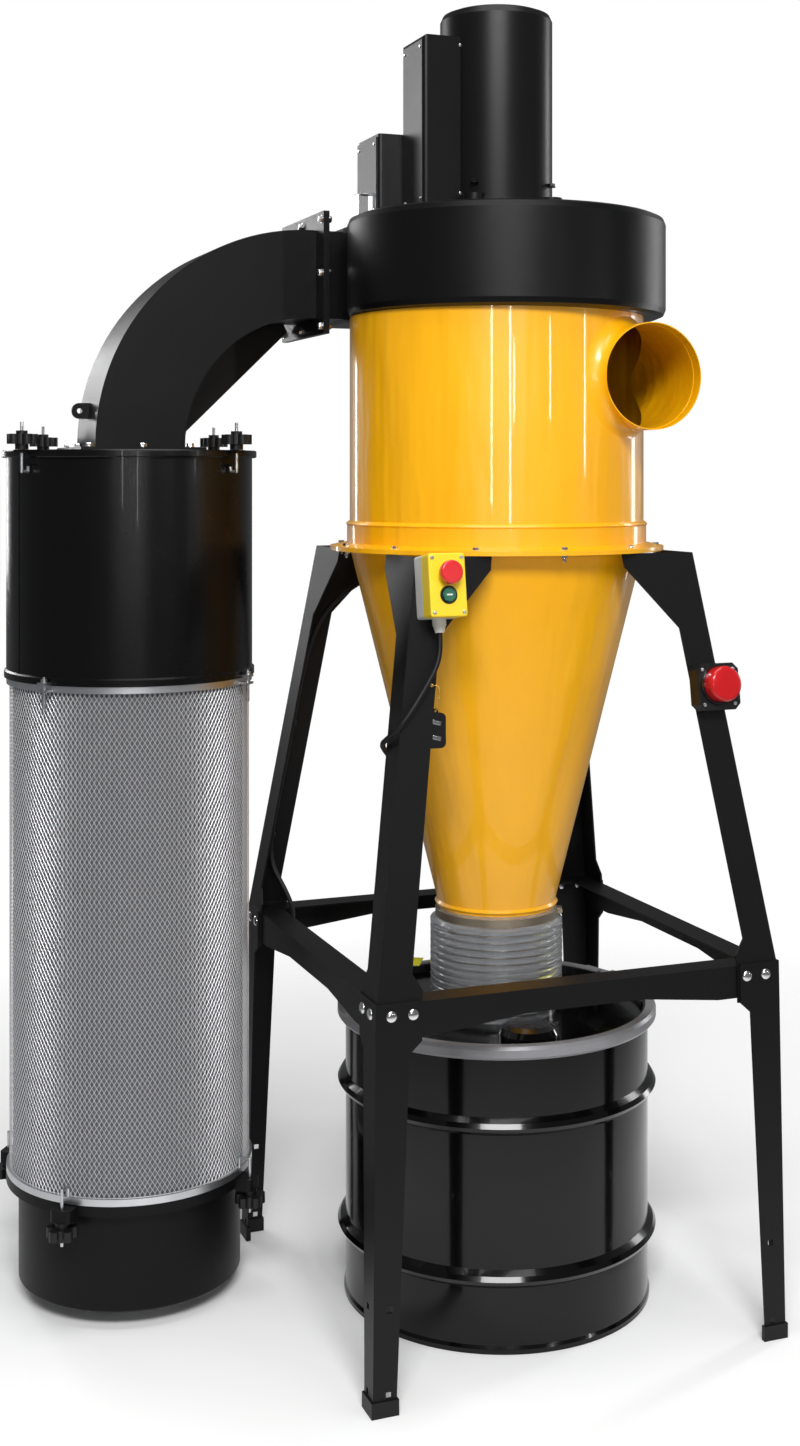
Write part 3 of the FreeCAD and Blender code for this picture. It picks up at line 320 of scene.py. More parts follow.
speckled_black = black_coat("speckled black powder coat", 0.0028, 0.34, 900.0, 0.55)
plenum_black = black_coat("plenum black", 0.0025, 0.26, 900.0, 0.40, coat=0.05, wave=0.0003)
stand_black = black_coat("stand black", 0.0035, 0.44, 1100.0, 0.40)
motor_black = black_coat("motor black", 0.004, 0.34, 500.0, 0.15)
drum_black = black_coat("drum black enamel", 0.0016, 0.15, 800.0, 0.05, coat=0.2, wave=0.0006)
print("five blacks")

# %% [markdown]
# ## Metals
# Zinc plating is grey with a faint blotch where the crystals vary. Rolled
# aluminium shows the marks of the rollers, so its noise is stretched along
# the sheet. The ring that locks the drum's lid has a grey metallic paint, so
# it is only a quarter metal.

# %% Metals
def metal(name, tone, rough, stretch=(60, 60, 60), scratches=0.15, polish=1.0):
    paint = Paint(name, Metallic=polish)
    grain = paint.noise(1.0, 5.0, 0.65, at=paint.placed(stretch))
    blotch = paint.noise(40.0, 3.0)
    paint.set(Base_Color=paint.mix(blotch, tuple(0.80 * t for t in tone), tone),
              Roughness=rough + scratches * grain,
              Normal=paint.bump(grain, 0.0001, 0.5))
    return paint.material


zinc = metal("zinc plate", (0.66, 0.67, 0.69), 0.22)
aluminium = metal("rolled aluminium", (0.74, 0.75, 0.77), 0.26, (8, 8, 900))
guard_metal = metal("expanded steel", (0.78, 0.78, 0.80), 0.30, (300, 300, 300),
                    polish=0.5)
band_metal = metal("tan steel band", (0.52, 0.44, 0.33), 0.30, (20, 20, 400))
bolt_metal = metal("bright bolts", (0.78, 0.78, 0.79), 0.14, (90, 90, 90), 0.10)
brass = metal("brass", (0.83, 0.56, 0.17), 0.20, (200, 200, 200))
ring_grey = metal("grey ring paint", (0.30, 0.30, 0.315), 0.26, (30, 30, 30), 0.10,
                  polish=0.25)
print("seven metals")

# %% [markdown]
# ## Plastics and rubber
# Moulded plastic has an even tone with a fine grain from the mould. Rubber is
# the same recipe, darker and duller, with pale dust in it.

# %% Plastics and rubber
def moulded(name, colour, rough, grain=900.0, depth=0.00010, dust=0.06, coat=0.0,
            shine=0.5):
    paint = Paint(name, Coat_Weight=coat, Coat_Roughness=0.08, Specular_IOR_Level=shine)
    tex = paint.noise(grain, 2.0)
    marks = paint.between(paint.noise(22.0, 8.0, 0.75), 0.58, 0.75)
    pale = tuple(min(1.0, c * 1.25 + 0.01) for c in colour)
    paint.set(Base_Color=paint.mix(dust * 4 * marks, colour, pale),
              Roughness=rough + 0.12 * marks, Normal=paint.bump(tex, depth, 0.6))
    return paint.material


pan_black = moulded("pan black", (0.003, 0.003, 0.0034), 0.42, shine=0.16)
plastic_black = moulded("black plastic", (0.005, 0.005, 0.0055), 0.40, shine=0.35)
gloss_black = moulded("glossy black plastic", (0.008, 0.008, 0.008), 0.10, 500.0, 0.00003,
                      0.03, coat=0.5)
rubber = moulded("black rubber", (0.006, 0.006, 0.006), 0.50, 500.0, 0.0002, 0.08,
                 shine=0.25)
switch_yellow = moulded("yellow plastic", (0.86, 0.60, 0.02), 0.34)
switch_grey = moulded("pale grey plastic", (0.58, 0.58, 0.54), 0.38)
button_red = moulded("red plastic", (0.62, 0.010, 0.014), 0.22, 600.0, 0.00004, 0.03,
                     coat=0.5)
button_green = moulded("green plastic", (0.004, 0.11, 0.055), 0.22, 600.0, 0.00004, 0.03,
                       coat=0.4)
label_white = moulded("white marking", (0.80, 0.80, 0.78), 0.5)
label_yellow = moulded("blank yellow sticker", (0.86, 0.80, 0.02), 0.42, 400.0, 0.00003)
print("ten plastics")

# %% [markdown]
# ## Pleated filter paper
# Behind the guard is a grey paper folded into upright pleats. A wave on the
# angle round the filter's own axis draws them: the colour is painted darker in
# the creases and paler on the crests as painted shade, and a bump turns the
# light from fold to fold.

# %% Filter paper
filter_low, filter_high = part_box("filter_media")
filter_mid = (filter_low + filter_high) / 2


def pleated_paper(pleats=150):
    paint = Paint("pleated grey paper", Roughness=0.85)
    at = paint.node("VectorMath", {"operation": "SUBTRACT"},
                    {0: paint.where, 1: tuple(filter_mid)})
    angle = paint.maths("ARCTAN2", paint.axis("Y", at), paint.axis("X", at))
    fold = 0.5 + 0.5 * paint.maths("SINE", angle * pleats)
    soot = paint.noise(7.0, 5.0, 0.6)
    fibre = paint.noise(600.0, 3.0)
    # painted shade: the fold wave paints the creases darker and the crests paler
    tone = paint.mix(fold, (0.105, 0.108, 0.114), (0.145, 0.149, 0.157))
    paint.set(Base_Color=paint.mix(0.35 * soot, tone, (0.10, 0.102, 0.108)),
              Normal=paint.bump(fibre, 0.0003, 0.4, over=paint.bump(fold, 0.0025, 0.8)))
    return paint.material


paper = pleated_paper()
print("pleats round", tuple(filter_mid))

# %% [markdown]
# ## Clear plastics
# The hose is clear vinyl and the beacon a red lens. Both let light through,
# so transmission is set on the shader, with a little haze in the roughness.

# %% Clear plastics
def clear(name, colour, through, rough):
    paint = Paint(name, Transmission_Weight=through, IOR=1.45)
    haze = paint.noise(30.0, 4.0)
    paint.set(Base_Color=paint.mix(haze, colour, tuple(0.88 * c for c in colour)),
              Roughness=rough + 0.14 * haze,
              Normal=paint.bump(paint.noise(160.0, 2.0), 0.0002, 0.25))
    return paint.material


vinyl = clear("clear vinyl", (0.90, 0.92, 0.94), 0.86, 0.04)
lens_red = clear("red lens", (0.90, 0.020, 0.025), 0.45, 0.08)
print("clear plastics")

# %% [markdown]
# ## Finishes for the CAD nodes
# Each node's slot in the record says what it is made of. A table gives every
# slot its finish, and a second table names the nodes whose real finish
# differs from the rest of their slot. The legs and braces get the stand's
# flatter black.

# %% Paint the CAD nodes
slot_finish = {
    "yellow_paint": yellow, "black_paint": speckled_black, "black_drum": drum_black,
    "black_plastic": plastic_black, "rubber": rubber, "zinc": zinc,
    "aluminium": aluminium, "media": paper, "clear_hose": vinyl, "ring_paint": ring_grey,
    "yellow_plastic": switch_yellow, "grey_plastic": switch_grey,
    "red_plastic": button_red, "green_plastic": button_green, "red_lens": lens_red,
    "gloss_black": gloss_black, "brass": brass}
node_finish = {
    "motor": motor_black, "capacitor_box": motor_black, "hose_clamp": band_metal,
    "filter_pan": pan_black, "plenum_drum": plenum_black, "plenum_lid": plenum_black}
node_slot = {part["node"]: part["material_slot"] for part in frame["record"]["subparts"]}
for name, node in frame["nodes"].items():
    finish = node_finish.get(name, slot_finish[node_slot[name]])
    if "leg" in name or "brace" in name:
        finish = stand_black
    node.data.materials.clear()
    node.data.materials.append(finish)
print(len(frame["nodes"]), "nodes painted")

# %% [markdown]
# ## Switch cable
# A black cable leaves the gland under the switch box, bows down the leg,
# turns round the flange and runs behind the machine to the control box. It is
# a curve, since a cable is one smooth line of one thickness. Its points keep
# to the route of the CAD model's cable, and are eased where it rounds the leg.

# %% Switch cable
CABLE_ROUTE = [
    (-0.2400, -0.3068, 1.2708), (-0.2400, -0.3106, 1.2451), (-0.2485, -0.3165, 1.2165),
    (-0.2650, -0.3195, 1.1890), (-0.2840, -0.3225, 1.1620), (-0.3010, -0.3248, 1.1385),
    (-0.3205, -0.3225, 1.1140), (-0.3315, -0.3000, 1.0950), (-0.3318, -0.2710, 1.0820),
    (-0.3180, -0.2440, 1.0670), (-0.2940, -0.2305, 1.0430), (-0.2755, -0.2450, 1.0110),
    (-0.2730, -0.2770, 0.9750), (-0.3217, -0.3177, 0.9150), (-0.3459, -0.3439, 0.8000),
    (-0.3360, -0.3320, 0.7250), (-0.3070, -0.2960, 0.6840), (-0.3180, -0.2460, 0.6580),
    (-0.3490, -0.1900, 0.6510), (-0.3540, -0.0800, 0.6530), (-0.3500, 0.0400, 0.6520),
    (-0.3550, 0.1400, 0.6510), (-0.3460, 0.2220, 0.6520), (-0.3150, 0.2780, 0.6640),
    (-0.3180, 0.3180, 0.7000), (-0.3491, 0.3511, 0.7650), (-0.3364, 0.3334, 0.8700),
    (-0.3163, 0.3193, 0.9850), (-0.3021, 0.2991, 1.1000), (-0.2839, 0.2859, 1.1950),
    (-0.2640, 0.2660, 1.2560), (-0.2320, 0.2540, 1.2960), (-0.1900, 0.2540, 1.3220),
    (-0.1460, 0.2700, 1.3420), (-0.1080, 0.2980, 1.3620), (-0.0820, 0.3260, 1.3920),
    (-0.0620, 0.3350, 1.4320), (-0.0440, 0.3220, 1.4780), (-0.0280, 0.3010, 1.5300),
    (-0.0140, 0.2910, 1.5980), (0.0020, 0.2920, 1.6800), (0.0200, 0.3080, 1.7480),
    (0.0420, 0.3420, 1.7920), (0.0560, 0.3630, 1.8380), (0.0580, 0.3670, 1.9050),
    (0.0540, 0.3640, 1.9700), (0.0420, 0.3520, 2.0180), (0.0160, 0.3220, 2.0440),
    (-0.0220, 0.3000, 2.0460), (-0.0640, 0.2910, 2.0370), (-0.1060, 0.2900, 2.0380),
    (-0.1450, 0.2720, 2.0510), (-0.1625, 0.2370, 2.0650), (-0.1625, 0.2030, 2.0650)]


def lay_cable(name, route, diameter, finish):
    """A smooth spline through a route, with a round section."""
    line = bpy.data.curves.new(name, "CURVE")
    line.dimensions, line.bevel_depth, line.bevel_resolution = "3D", diameter / 2, 3
    line.resolution_u = 8
    spline = line.splines.new("NURBS")
    spline.points.add(len(route) - 1)
    for point, place in zip(spline.points, route):
        point.co = (*place, 1)
    spline.order_u, spline.use_endpoint_u = 3, True
    line.use_fill_caps = True
    line.materials.append(finish)
    cable = put_in_scene(name, line)
    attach(cable, "frame")
    return cable


cable = lay_cable("switch_cord", CABLE_ROUTE, 0.0095, rubber)
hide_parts("switch_cable")
print("cable of", len(CABLE_ROUTE), "points")

# %% [markdown]
# ## Expanded-metal guard
# The guard is sheet steel slit and pulled into upright diamonds. A grid of
# squares, turned by 45 degrees and stretched, is the net of diamonds. It is
# trimmed, rolled round the filter, and each diamond is inset so that only its
# strands are left. The inset's depth gives each strand its ridge.

# %% Expanded-metal guard
guard_low, guard_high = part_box("filter_mesh")
guard_mid = (guard_low + guard_high) / 2
guard_r = (guard_high.x - guard_low.x) / 2 - 0.0004
DIAMOND_H = 0.0142
DIAMONDS_ROUND = 156
DIAMOND_W = math.tau * guard_r / DIAMONDS_ROUND
STRAND, RIDGE = 0.00042, 0.0005


def expanded_guard():
    """A net of diamonds, trimmed, rolled round the filter and opened up."""
    tall = guard_high.z - guard_low.z
    rows = tall / DIAMOND_H
    count = math.ceil((DIAMONDS_ROUND + rows) / 2) * 2
    net = bmesh.new()
    bmesh.ops.create_grid(net, x_segments=count, y_segments=count, size=count / 2)
    bmesh.ops.rotate(net, verts=net.verts, matrix=Matrix.Rotation(math.pi / 4, 3, "Z"))
    bmesh.ops.scale(net, verts=net.verts,
                    vec=(DIAMOND_W / math.sqrt(2), DIAMOND_H / math.sqrt(2), 1))
    wide = DIAMONDS_ROUND * DIAMOND_W / 2
    for normal, far in (((1, 0, 0), wide), ((-1, 0, 0), wide),
                        ((0, 1, 0), tall / 2), ((0, -1, 0), tall / 2)):
        bmesh.ops.bisect_plane(net, geom=net.verts[:] + net.edges[:] + net.faces[:],
                               dist=1e-6, plane_co=Vector(normal) * far, plane_no=normal,
                               clear_outer=True)
    for vert in net.verts:
        turn = vert.co.x / guard_r
        vert.co = (guard_mid.x + guard_r * math.cos(turn),
                   guard_mid.y + guard_r * math.sin(turn), guard_mid.z + vert.co.y)
    bmesh.ops.remove_doubles(net, verts=net.verts, dist=1e-5)
    holes = net.faces[:]
    bmesh.ops.inset_individual(net, faces=holes, thickness=STRAND, depth=-RIDGE,
                               use_even_offset=True)
    bmesh.ops.delete(net, geom=holes, context="FACES")
    return net


guard = finish_piece("diamond_guard", expanded_guard(), guard_metal, smooth=0,
                     stands_for=["filter_mesh"])

# %% [markdown]
# ## Bolts
# Three fasteners repeat all over the machine: hexagon bolts on the flanges,
# domed carriage bolts on the stand, and small pan-head screws. Each is
# modelled once with a lathe or a six-sided disc and then copied to its places.

# %% Fastener masters
def hexagon_bolt(size, head, shank):
    """A washer, a chamfered hexagon head, and the thread and nut below."""
    bolt, washer, tip = bmesh.new(), size * 0.2, -shank - 0.0075

    def hexagon(middle):
        return bmesh.ops.create_cone(bolt, cap_ends=True, segments=6, radius1=size,
                                     radius2=size, depth=head,
                                     matrix=Matrix.Translation((0, 0, middle)))["verts"]

    lathe(bolt, [(0, 0), (size * 1.15, 0), (size * 1.15, size * 0.14),
                 (size * 0.9, washer), (0, washer)], 20)
    top = [edge for edge in edges_at(hexagon(washer + head / 2))
           if all(vert.co.z > washer + head * 0.9 for vert in edge.verts)]
    round_edges(bolt, top, size * 0.12)
    if shank:
        hexagon(-shank + head / 2)
        lathe(bolt, [(0, -shank), (size * 0.5, -shank), (size * 0.5, -shank - 0.006),
                     (size * 0.4, tip), (0, tip)], 12)
    return small_mesh(bolt)


def domed_bolt(radius, rise):
    """A carriage bolt's head, a shallow dome."""
    angles = [math.radians(15 * step) for step in range(6)]
    arc = [(radius * math.cos(a), rise * math.sin(a)) for a in angles]
    return turned_mesh([(radius * 0.96, 0)] + arc + [(0, rise)], 24)


def cross_screw(radius, rise):
    """A pan head with a cross of two thin bars set on its top."""
    screw = bmesh.new()
    lathe(screw, [(radius, 0), (radius * 0.97, rise * 0.6), (radius * 0.72, rise), (0, rise)], 24)
    for turn in (0, math.pi / 2):
        bmesh.ops.create_cube(screw, size=1, matrix=Matrix.Translation((0, 0, rise * 1.02))
                              @ Matrix.Rotation(turn, 4, "Z")
                              @ Matrix.Diagonal((radius * 1.05, radius * 0.22, rise * 0.10, 1)))
    return small_mesh(screw)


flange_bolt = hexagon_bolt(0.0062, 0.0052, 0.0125)
stud_bolt = hexagon_bolt(0.0068, 0.0058, 0)
brace_bolt = domed_bolt(0.0098, 0.0045)
cover_screw = cross_screw(0.0034, 0.0018)
print("masters", [len(m.polygons) for m in (flange_bolt, stud_bolt, brace_bolt, cover_screw)])

# %% [markdown]
# ## Where the bolts go
# Twelve bolts hold the barrel to the cone, thirty degrees apart. Eight bolts
# with a head on each side join the fan's flange to the elbow's, and eight
# studs hold the elbow's foot.

# %% Flange, duct and foot bolts
flange_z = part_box("cone")[1].z
fan_low, fan_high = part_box("fan_housing")
FLANGE_T, DUCT_FLANGE_T = 0.004, 0.006
UP = (0, 0, 1)


def bolt_circle(radius, height, first, count, turn=0.0):
    """Upright places round the machine's axis; first is in degrees."""
    angles = [math.radians(first + 360 / count * step) for step in range(count)]
    return [turned_to(UP, (radius * math.cos(a), radius * math.sin(a), height), turn + a)
            for a in angles]


ring_places = bolt_circle(0.3015, flange_z + FLANGE_T, 29.6, 12, 0.4)
finish_piece("barrel_bolts", copies(flange_bolt, ring_places), bolt_metal)

DUCT_Y, DUCT_Z = 0.2576, 1.928
grid = [(y, z) for y in (-0.1235, 0, 0.1235) for z in (-0.1025, 0, 0.1025) if y or z]
duct_places = [turned_to((side, 0, 0),
                         (fan_low.x + side * DUCT_FLANGE_T, DUCT_Y + y, DUCT_Z + z), 0.3)
               for side in (-1, 1) for y, z in grid]
finish_piece("duct_bolts", copies(stud_bolt, duct_places), bolt_metal)

foot_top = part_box("elbow")[0].z + DUCT_FLANGE_T
foot_places = [turned_to(UP, (filter_mid.x + x, filter_mid.y + y, foot_top), 0.2)
               for x in (-0.100, 0, 0.090) for y in (-0.108, 0, 0.108) if x or y]
finish_piece("elbow_studs", copies(stud_bolt, foot_places), bolt_metal)

# %% [markdown]
# ## Stand bolts
# At each leg the end of a brace lies inside the leg's flange, and two domed
# bolts go through both. Inside, each ends in a hexagon nut.

# %% Stand bolts
LEG_HALF, BOLT_Z = 0.3838, 0.650
HEAD_AT, NUT_AT = LEG_HALF + 0.0001, LEG_HALF - 0.0066
heads, nuts = [], []
for sx in (-1, 1):
    for sy in (-1, 1):
        for across in (LEG_HALF - 0.0276, LEG_HALF - 0.066):
            heads.append(turned_to((0, sy, 0), (sx * across, sy * HEAD_AT, BOLT_Z)))
            heads.append(turned_to((sx, 0, 0), (sx * HEAD_AT, sy * across, BOLT_Z)))
            nuts.append(turned_to((0, -sy, 0), (sx * across, sy * NUT_AT, BOLT_Z), 0.5))
            nuts.append(turned_to((-sx, 0, 0), (sx * NUT_AT, sy * across, BOLT_Z), 0.5))
finish_piece("brace_bolts", copies(brace_bolt, heads), bolt_metal)
finish_piece("brace_nuts", copies(stud_bolt, nuts), zinc)

# %% [markdown]
# ## Inlet fairing
# Where the inlet pipe leaves the barrel at a slant, the sheet is dressed into
# a smooth hollow instead of a sharp corner. A flat grid has the right number
# of rows and columns, so each column is carried to an angle round the pipe
# and each row is eased from the pipe's wall to the barrel's. Solidify then
# gives the sheet its thickness.

# %% Inlet fairing
pipe_low, pipe_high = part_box("inlet_pipe")
pipe_r = (pipe_high.z - pipe_low.z) / 2
pipe_x, pipe_z = pipe_high.x - pipe_r, (pipe_low.z + pipe_high.z) / 2
BARREL_R = 0.2794
SPREAD, LIFT = 0.042, 0.030


def inlet_fairing():
    """A hollow sheet from the pipe's wall to the barrel's."""
    sheet = bmesh.new()
    bmesh.ops.create_grid(sheet, x_segments=56, y_segments=10, size=1)
    for vert in sheet.verts:
        away = vert.co.x * math.radians(116)
        ease = max(0.0, math.cos(vert.co.x * math.pi / 2)) ** 0.8
        bow = (vert.co.y + 1) * math.pi / 4
        out = pipe_r + 0.0002 + SPREAD * ease * (1 - math.cos(bow))
        x = pipe_x - out * math.cos(away)
        y = (-math.sqrt(BARREL_R ** 2 - x * x) + 0.0016 * math.sin(bow) ** 6 - 0.0004
             - LIFT * ease * (1 - math.sin(bow)))
        vert.co = (x, y, pipe_z + out * math.sin(away))
    bmesh.ops.solidify(sheet, geom=sheet.faces[:], thickness=0.0008)
    return sheet


finish_piece("inlet_fairing", inlet_fairing(), yellow)

# %% [markdown]
# ## Seams and strips
# Rolled sheet has a lap seam where its ends meet, and the guard has a plain
# strip where it is joined. Each is a thin rectangle spun part of the way
# round, so one helper draws them all. The same helper gives the cone's seam,
# because its rectangle may lean.

# %% Seams and strips
def strip(low, high, centre, middle, width, thick=0.0009):
    """A thin band between two (radius, height) points, at an angle in degrees."""
    band = bmesh.new()
    lean = Vector((high[1] - low[1], 0, low[0] - high[0])).normalized() * thick
    corners = [Vector((low[0], 0, low[1])), Vector((high[0], 0, high[1]))]
    corners += [corners[1] + lean, corners[0] + lean]
    face = band.faces.new([band.verts.new(c) for c in corners])
    turn = width / max(low[0], high[0])
    bmesh.ops.rotate(band, verts=band.verts, cent=(0, 0, 0),
                     matrix=Matrix.Rotation(math.radians(middle) - turn / 2, 3, "Z"))
    spun = bmesh.ops.spin(band, geom=face.edges[:] + face.verts[:], angle=turn,
                          steps=max(2, int(width / 0.006)), axis=(0, 0, 1), cent=(0, 0, 0))
    last = [g for g in spun["geom_last"] if isinstance(g, bmesh.types.BMEdge)]
    bmesh.ops.contextual_create(band, geom=last)
    bmesh.ops.translate(band, verts=band.verts, vec=(centre[0], centre[1], 0))
    return band


barrel_axis, filter_axis = (0, 0), (filter_mid.x, filter_mid.y)
plenum_low, plenum_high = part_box("plenum_drum")
PLENUM_R, STRIP_R = 0.232, guard_r + 0.0002
barrel_seam = strip((BARREL_R, flange_z + 0.052), (BARREL_R, fan_low.z - 0.001),
                    barrel_axis, 100, 0.016)
finish_piece("barrel_seam", barrel_seam, yellow)
cone_seam = strip((0.1132, 0.737), (BARREL_R - 0.0012, flange_z - 0.006),
                  barrel_axis, 96, 0.016)
finish_piece("cone_seam", cone_seam, yellow)
plenum_seam = strip((PLENUM_R, plenum_low.z + 0.016), (PLENUM_R, plenum_high.z - 0.002),
                    filter_axis, 196, 0.012)
finish_piece("plenum_seam", plenum_seam, plenum_black)
guard_strip = strip((STRIP_R, guard_low.z), (STRIP_R, guard_high.z),
                    filter_axis, 329, 0.030, 0.0005)
finish_piece("guard_strip", guard_strip, guard_metal)

# %% [markdown]
# ## Wire in the hose
# A steel wire is moulded into each rib of the clear hose and shows through
# it. A spin with a step along its axis draws the whole helix at once.

# %% Hose wire
hose_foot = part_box("flex_hose")[0].z
WIRE_R, WIRE_AT, RIB_PITCH = 0.0012, 0.1222, 0.0118


def hose_wire(turns=12, steps=36):
    """A closed helix of wire, one turn for each rib."""
    wire = bmesh.new()
    start = (Matrix.Translation((WIRE_AT, 0, hose_foot + 0.0245))
             @ Matrix.Rotation(math.pi / 2, 4, "X"))
    ring = bmesh.ops.create_circle(wire, segments=6, radius=WIRE_R, matrix=start)["verts"]
    bmesh.ops.spin(wire, geom=ring + edges_at(ring), angle=turns * math.tau,
                   steps=turns * steps, axis=(0, 0, 1), cent=(0, 0, 0),
                   dvec=(0, 0, RIB_PITCH / steps))
    bmesh.ops.holes_fill(wire, edges=[e for e in wire.edges if e.is_boundary], sides=0)
    return wire


finish_piece("hose_wire", hose_wire(), bolt_metal)

# %% [markdown]
# ## Switch box details
# The box leans with the leg it is screwed to, so its details are placed in
# the box's own directions and turned with it. There are four cover screws, a
# black bezel round the green button and a yellow one round the red, and a
# raised white bar on the green one, which rides on it when it is pressed.

# %% Switch box details
LEAN = Matrix.Rotation(math.radians(-8.49), 4, "X")
FACE_OUT = Matrix.Rotation(math.pi / 2, 4, "X")
switch_place = Matrix.Translation((-0.23997, -0.27947, 1.34558)) @ LEAN


def on_switch(x, out, z):
    return switch_place @ Matrix.Translation((x, -out, z)) @ FACE_OUT


def bezel(inner, outer, rise):
    """A collar with a rounded rim that sinks a little into its face."""
    return turned_mesh([(inner, -0.001), (outer, -0.001), (outer, rise * 0.6),
                        (outer - 0.0008, rise), (inner + 0.0006, rise),
                        (inner, rise * 0.7), (inner, -0.001)], 40)


COVER_FACE, STOP_Z, START_Z = 0.066, 0.020, -0.017
cover_places = [on_switch(x, COVER_FACE, z) for x in (-0.0268, 0.0268)
                for z in (-0.0465, 0.0465)]
finish_piece("switch_screws", copies(cover_screw, cover_places), zinc)
start_ring = copies(bezel(0.0122, 0.0155, 0.0022), [on_switch(0, COVER_FACE, START_Z)])
finish_piece("start_bezel", start_ring, plastic_black)
stop_ring = copies(bezel(0.0117, 0.0165, 0.0030), [on_switch(0, COVER_FACE, STOP_Z)])
finish_piece("stop_bezel", stop_ring, switch_yellow)


def start_bar():
    """The raised bar on the start button."""
    bar = bmesh.new()
    size = Matrix.Diagonal((0.0105, 0.0026, 0.0010, 1))
    bmesh.ops.create_cube(bar, size=1, matrix=on_switch(0, 0.0712, START_Z) @ size)
    round_edges(bar, bar.edges[:], 0.0003)
    return bar


finish_piece("start_bar", start_bar(), label_white, body="start_button")

# %% [markdown]
# ## Remote control on its chain
# A small two-button remote hangs behind the leg's edge from a brass bead
# chain. Beads are small spheres set a few millimetres apart along the chain's
# line, with a thin link through each pair.

# %% Bead chain and remote
CHAIN = [Vector(place) for place in (
    (-0.2542, -0.3092, 1.1820), (-0.2505, -0.3092, 1.1824), (-0.2450, -0.3085, 1.1820),
    (-0.2405, -0.3040, 1.1780), (-0.2390, -0.3025, 1.1680), (-0.2400, -0.3025, 1.1540),
    (-0.2425, -0.3025, 1.1430), (-0.2445, -0.3000, 1.1365))]
BEAD_STEP, BEAD_R = 0.0030, 0.0011


def along(points, step):
    """Places a fixed step apart on a line of points."""
    spots, left = [points[0]], step
    for a, b in zip(points, points[1:]):
        while (b - a).length >= left:
            a = a + (b - a).normalized() * left
            spots.append(a)
            left = step
        left -= (b - a).length
    return spots


def bead_chain():
    """Beads, the links through them, and the stud that holds the chain."""
    beads = along(CHAIN, BEAD_STEP)
    ball, link = bmesh.new(), bmesh.new()
    bmesh.ops.create_icosphere(ball, subdivisions=2, radius=BEAD_R)
    bmesh.ops.create_cone(link, cap_ends=True, segments=8, radius1=0.0004,
                          radius2=0.0004, depth=0.0032)
    chain = copies(small_mesh(ball), [Matrix.Translation(bead) for bead in beads])
    add_copies(chain, small_mesh(link),
               [turned_to(b - a, (a + b) / 2) for a, b in zip(beads, beads[1:])])
    stud = turned_mesh([(0.0030, -0.0006), (0.0032, 0.0010), (0.0018, 0.0024),
                        (0, 0.0027)], 20)
    return add_copies(chain, stud, [turned_to((0, -1, 0), CHAIN[0] + Vector((0, 0.0032, 0)))])


finish_piece("bead_chain", bead_chain(), brass, stands_for=["fob_chain"])

fob_low, fob_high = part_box("remote_fob")


def fob_buttons():
    """Two pads on the remote, turned a little on its face."""
    pads = bmesh.new()
    shape = Matrix.Rotation(0.25, 4, "Y") @ Matrix.Diagonal((0.0160, 0.0020, 0.0070, 1))
    for z in (1.1180, 1.0920):
        place = Matrix.Translation((fob_high.x - 0.0170, fob_low.y - 0.0002, z))
        pad = bmesh.ops.create_cube(pads, size=1, matrix=place @ shape)["verts"]
        round_edges(pads, edges_at(pad), 0.0007, 3)
    return pads


finish_piece("fob_buttons", fob_buttons(), bolt_metal)

# %% [markdown]
# ## Beacon details
# The red lens sits in a black collar on its square base, and a screw holds
# each corner of the base to the leg.

# %% Beacon details
beacon_place = Matrix.Translation((0.28777, -0.30777, 1.156)) @ LEAN
BASE_FACE = 0.030


def on_beacon(x, out, z):
    return beacon_place @ Matrix.Translation((x, -out, z)) @ FACE_OUT


collar = copies(bezel(0.0322, 0.0372, 0.0060), [on_beacon(0, BASE_FACE, 0.004)])
finish_piece("beacon_collar", collar, gloss_black)
base_places = [on_beacon(x, BASE_FACE, z) for x in (-0.031, 0.031) for z in (-0.031, 0.031)]
finish_piece("beacon_screws", copies(cover_screw, base_places), zinc)

# %% [markdown]
# ## Motor and box fasteners
# Four bolts hold the motor's foot down through its raised lobes. Small screws
# hold the covers of the two boxes beside it.

# %% Motor and box fasteners
LOBE_H = 0.036
motor_places = bolt_circle(0.112, fan_high.z + LOBE_H, 45, 4)
finish_piece("motor_bolts", copies(stud_bolt, motor_places), motor_black)
cap_low, cap_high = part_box("capacitor_box")
box_low, box_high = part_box("control_box")
screw_places = [turned_to((0, -1, 0), (cap_low.x + 0.074, cap_low.y, z))
                for z in (cap_high.z - 0.016, cap_low.z + 0.030)]
for low, high, below_top in ((cap_low, cap_high, 0.020), (box_low, box_high, 0.018)):
    screw_places += [turned_to((-1, 0, 0), (low.x, y, z))
                     for y in (low.y + 0.016, high.y - 0.016)
                     for z in (low.z + 0.020, high.z - below_top)]
finish_piece("box_screws", copies(cover_screw, screw_places), bolt_metal)

# %% [markdown]
# ## Stickers on the drum lid
# Three stickers lie on the lid's sunk panel. They are left blank, and each is
# a thin slab with a slightly lifted edge, so it catches light as paper does.

# %% Stickers on the drum lid
panel_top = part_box("drum_lid")[1].z - 0.014


def sticker(centre, long_side, short_side, turn):
    """A blank slip on the lid's panel, turned by some degrees."""
    slip = bmesh.new()
    bmesh.ops.create_grid(slip, x_segments=12, y_segments=6, size=0.5)
    bmesh.ops.scale(slip, verts=slip.verts, vec=(long_side, short_side, 1))
    for vert in slip.verts:
        edge = max(abs(vert.co.x) / long_side, abs(vert.co.y) / short_side) * 2
        vert.co.z = 0.0003 + 0.0006 * max(0.0, edge - 0.75) * 4
    bmesh.ops.solidify(slip, geom=slip.faces[:], thickness=0.0002)
    place = Matrix.Translation((*centre, panel_top))
    bmesh.ops.transform(slip, matrix=place @ Matrix.Rotation(math.radians(turn), 4, "Z"),
                        verts=slip.verts)
    return slip


